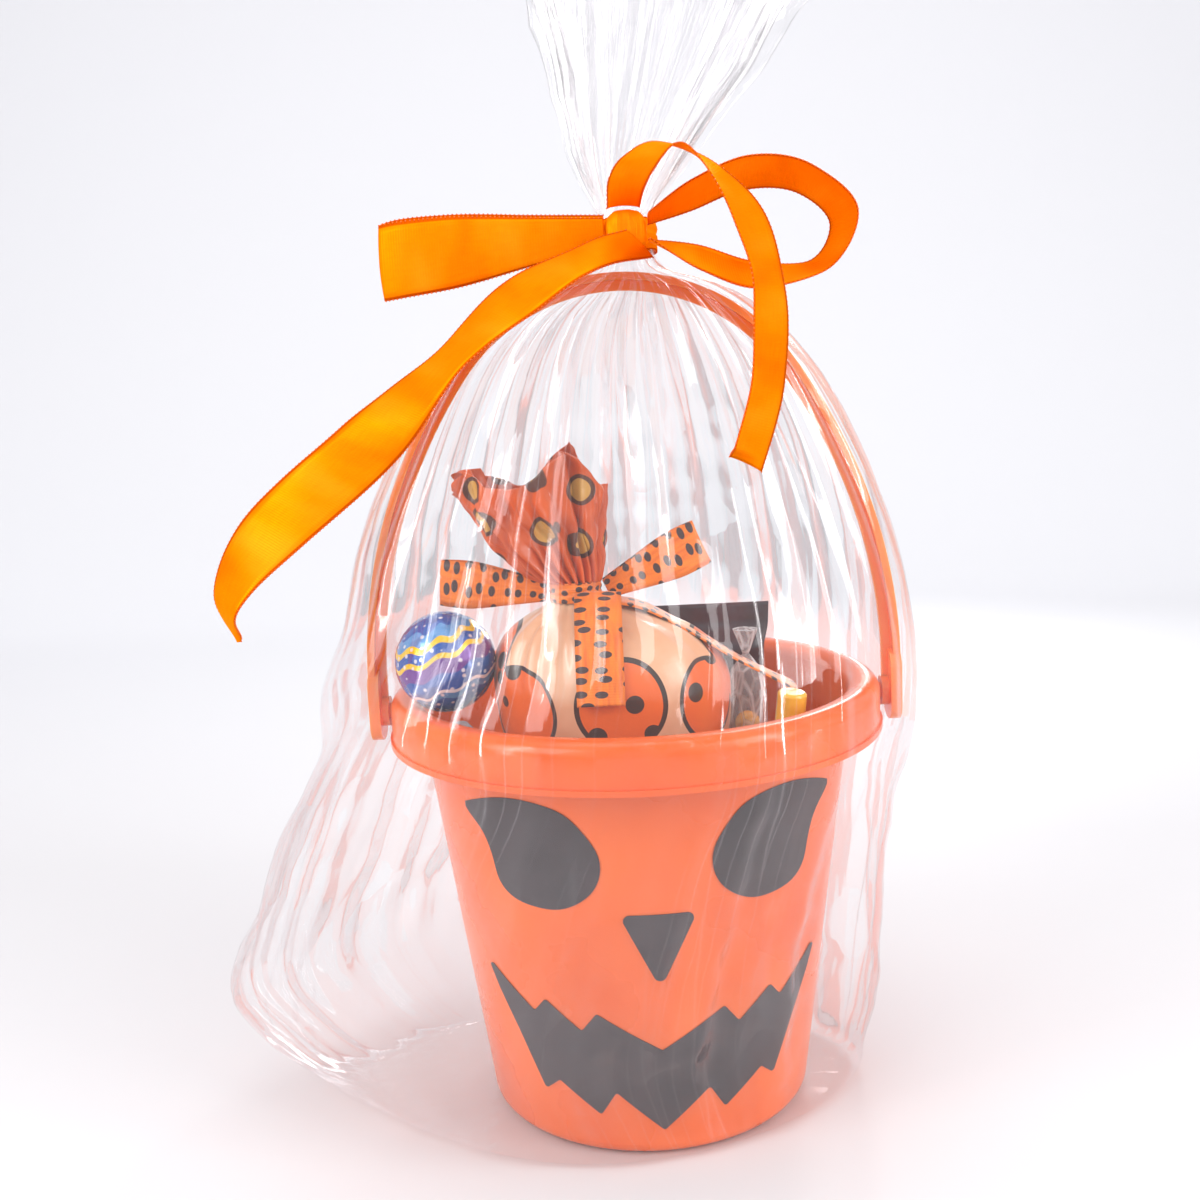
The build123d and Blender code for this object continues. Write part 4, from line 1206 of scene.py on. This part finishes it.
def clearTwistFinish():
    finish, tree, shader = startFinish("clearTwistFilm")
    shader.inputs["Base Color"].default_value = (0.93, 0.90, 0.90, 1)
    shader.inputs["Roughness"].default_value = 0.12
    creases = cellTexture(tree, objectCoords(tree, (0, 0, 0), (1, 1, 0.4)), 160, "DISTANCE_TO_EDGE")
    lines = ramp(tree, creases, [(0.0, (0.55, 0.55, 0.55)), (0.10, (0.16, 0.16, 0.16))])
    facing = put(tree, "ShaderNodeLayerWeight", {"Blend": 0.3}).outputs["Facing"]
    alpha = sums(tree, "ADD", lines, sums(tree, "MULTIPLY", facing, 0.4), clamp=True)
    tree.links.new(alpha, shader.inputs["Alpha"])
    addBump(tree, shader, creases, 0.5, 0.8 * mm)
    return finish


darkBar = {
    "width": 44.6,
    "thickness": 12.6,
    "finHeight": 8,
    "finThickness": 0.7,
    "crinkle": 0.9,
    "rows": 110,
    "columns": 72,
}


def endCentre(node, top):
    # middle of a node's upper or lower end, in mm
    places = np.array([cadNodes[node].matrix_world @ v.co for v in cadNodes[node].data.vertices]) / mm
    level = places[:, 2].max() - 4 if top else places[:, 2].min() + 4
    end = places[places[:, 2] > level] if top else places[places[:, 2] < level]
    return (end.max(0) + end.min(0)) / 2


def makeDarkBar():
    # pillow of film round the bar, pressed flat into a crimped fin at the top
    low, high = endCentre("dark_bar", False), endCentre("dark_bar", True)
    bounds = [corner.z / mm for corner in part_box("dark_bar")]
    tall = bounds[1] - bounds[0]
    rise = np.linspace(0, 1, darkBar["rows"])[:, None]
    angle = turnAngles(darkBar["columns"])
    fin = np.clip((rise * tall - (tall - 2.2 * darkBar["finHeight"])) / (1.2 * darkBar["finHeight"]), 0, 1)
    fin = ease(fin)
    foot = np.clip(rise * tall / 6, 0.15, 1) ** 0.5
    deep = darkBar["thickness"] * foot * (1 - fin) + darkBar["finThickness"] * fin
    wide = darkBar["width"] * (0.94 + 0.06 * fin)

    def square(v):
        return np.sign(v) * np.abs(v) ** 0.55
    x = low[0] + (high[0] - low[0]) * rise + wide / 2 * square(np.cos(angle))
    y = low[1] + (high[1] - low[1]) * rise + deep / 2 * square(np.sin(angle))
    z = bounds[0] + 0.1 + rise * (tall - 0.2) + 0 * angle
    grid = np.stack([x, y, z], -1)
    ribs = 0.35 * fin * zigzag(z / 1.6)
    dents = -darkBar["crinkle"] * (1 - fin) * foot * np.abs(noiseOf(grid, 1 / 13))
    gathers = 0.5 * fin * (1 - fin) * zigzag(x / 4.5)
    grid[..., 1] += np.sign(np.sin(angle)) * (dents + gathers) + ribs
    bottom = grid[0].mean(0)
    top = grid[-1] * np.array([1, 0, 1]) + np.array([0, 1, 0]) * high[1]
    grid = np.concatenate([np.broadcast_to(bottom, grid[:1].shape), grid, top[None]])
    obj = gridPiece("dark_bar_wrap", grid * mm, True)
    weld(obj)
    dress(obj, wrapFinish("dark_bar", *wraps["dark_bar"]))
    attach(obj, "pail")
    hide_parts("dark_bar")


twistSweets = {
    "count": 11,
    "radius": 5.2,
    "seed": 4,
}


def sweetFinish():
    finish, tree, shader = startFinish("boiledSweet")
    cells = cellTexture(tree, objectCoords(tree), 70)
    tint = [(0.0, (0.75, 0.12, 0.02)), (0.4, (0.90, 0.36, 0.02)), (0.7, (0.85, 0.52, 0.10))]
    tree.links.new(ramp(tree, cells, tint), shader.inputs["Base Color"])
    shader.inputs["Roughness"].default_value = 0.2
    return finish


def sweetTree(finish):
    # round sweets in a row, each turned and sized a little differently
    tree = bpy.data.node_groups.new("twistSweets", "GeometryNodeTree")
    tree.interface.new_socket("Geometry", in_out="INPUT", socket_type="NodeSocketGeometry")
    count = tree.interface.new_socket("Count", in_out="INPUT", socket_type="NodeSocketInt")
    radius = tree.interface.new_socket("Radius", in_out="INPUT", socket_type="NodeSocketFloat")
    seed = tree.interface.new_socket("Seed", in_out="INPUT", socket_type="NodeSocketInt")
    tree.interface.new_socket("Geometry", in_out="OUTPUT", socket_type="NodeSocketGeometry")
    entry, leave = tree.nodes.new("NodeGroupInput"), tree.nodes.new("NodeGroupOutput")
    points = tree.nodes.new("GeometryNodeCurveToPoints")
    points.mode = "COUNT"
    sweet = tree.nodes.new("GeometryNodeMeshIcoSphere")
    sweet.inputs["Subdivisions"].default_value = 3
    sizes = tree.nodes.new("FunctionNodeRandomValue")
    sizes.data_type = "FLOAT"
    sizes.inputs[2].default_value = 0.86
    sizes.inputs[3].default_value = 1.0
    spread = tree.nodes.new("GeometryNodeInstanceOnPoints")
    real = tree.nodes.new("GeometryNodeRealizeInstances")
    paint = tree.nodes.new("GeometryNodeSetMaterial")
    paint.inputs["Material"].default_value = finish
    links = tree.links
    links.new(entry.outputs["Geometry"], points.inputs["Curve"])
    links.new(entry.outputs["Count"], points.inputs["Count"])
    links.new(entry.outputs["Radius"], sweet.inputs["Radius"])
    links.new(entry.outputs["Seed"], sizes.inputs["Seed"])
    links.new(points.outputs["Points"], spread.inputs["Points"])
    links.new(sweet.outputs["Mesh"], spread.inputs["Instance"])
    links.new(sizes.outputs[1], spread.inputs["Scale"])
    links.new(spread.outputs["Instances"], real.inputs["Geometry"])
    links.new(real.outputs["Geometry"], paint.inputs["Geometry"])
    links.new(paint.outputs["Geometry"], leave.inputs["Geometry"])
    return tree, count.identifier, radius.identifier, seed.identifier


def makeTwistSweets():
    low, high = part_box("clear_twist")
    middle = (low + high) / 2
    data = bpy.data.curves.new("sweetLine", "CURVE")
    data.dimensions = "3D"
    line = data.splines.new("POLY")
    line.points.add(1)
    line.points[0].co = (middle.x, middle.y, low.z + 7 * mm, 1)
    line.points[1].co = (middle.x, middle.y, high.z - 36 * mm, 1)
    holder = addPiece("sweetLine", data)
    tree, count, radius, seed = sweetTree(sweetFinish())
    maker = holder.modifiers.new("sweets", "NODES")
    maker.node_group = tree
    maker[count] = twistSweets["count"]
    maker[radius] = twistSweets["radius"] * mm
    maker[seed] = twistSweets["seed"]
    graph = bpy.context.evaluated_depsgraph_get()
    mesh = bpy.data.meshes.new_from_object(holder.evaluated_get(graph))
    bpy.data.objects.remove(holder)
    obj = addPiece("clear_twist_sweets", mesh)
    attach(obj, "pail")


makeBall()
makeDarkBar()
makeTwistSweets()
for node, look in wraps.items():
    dress(cadNodes[node], wrapFinish(node, *look))
dress(cadNodes["clear_twist"], clearTwistFinish())
print("sweets finished")
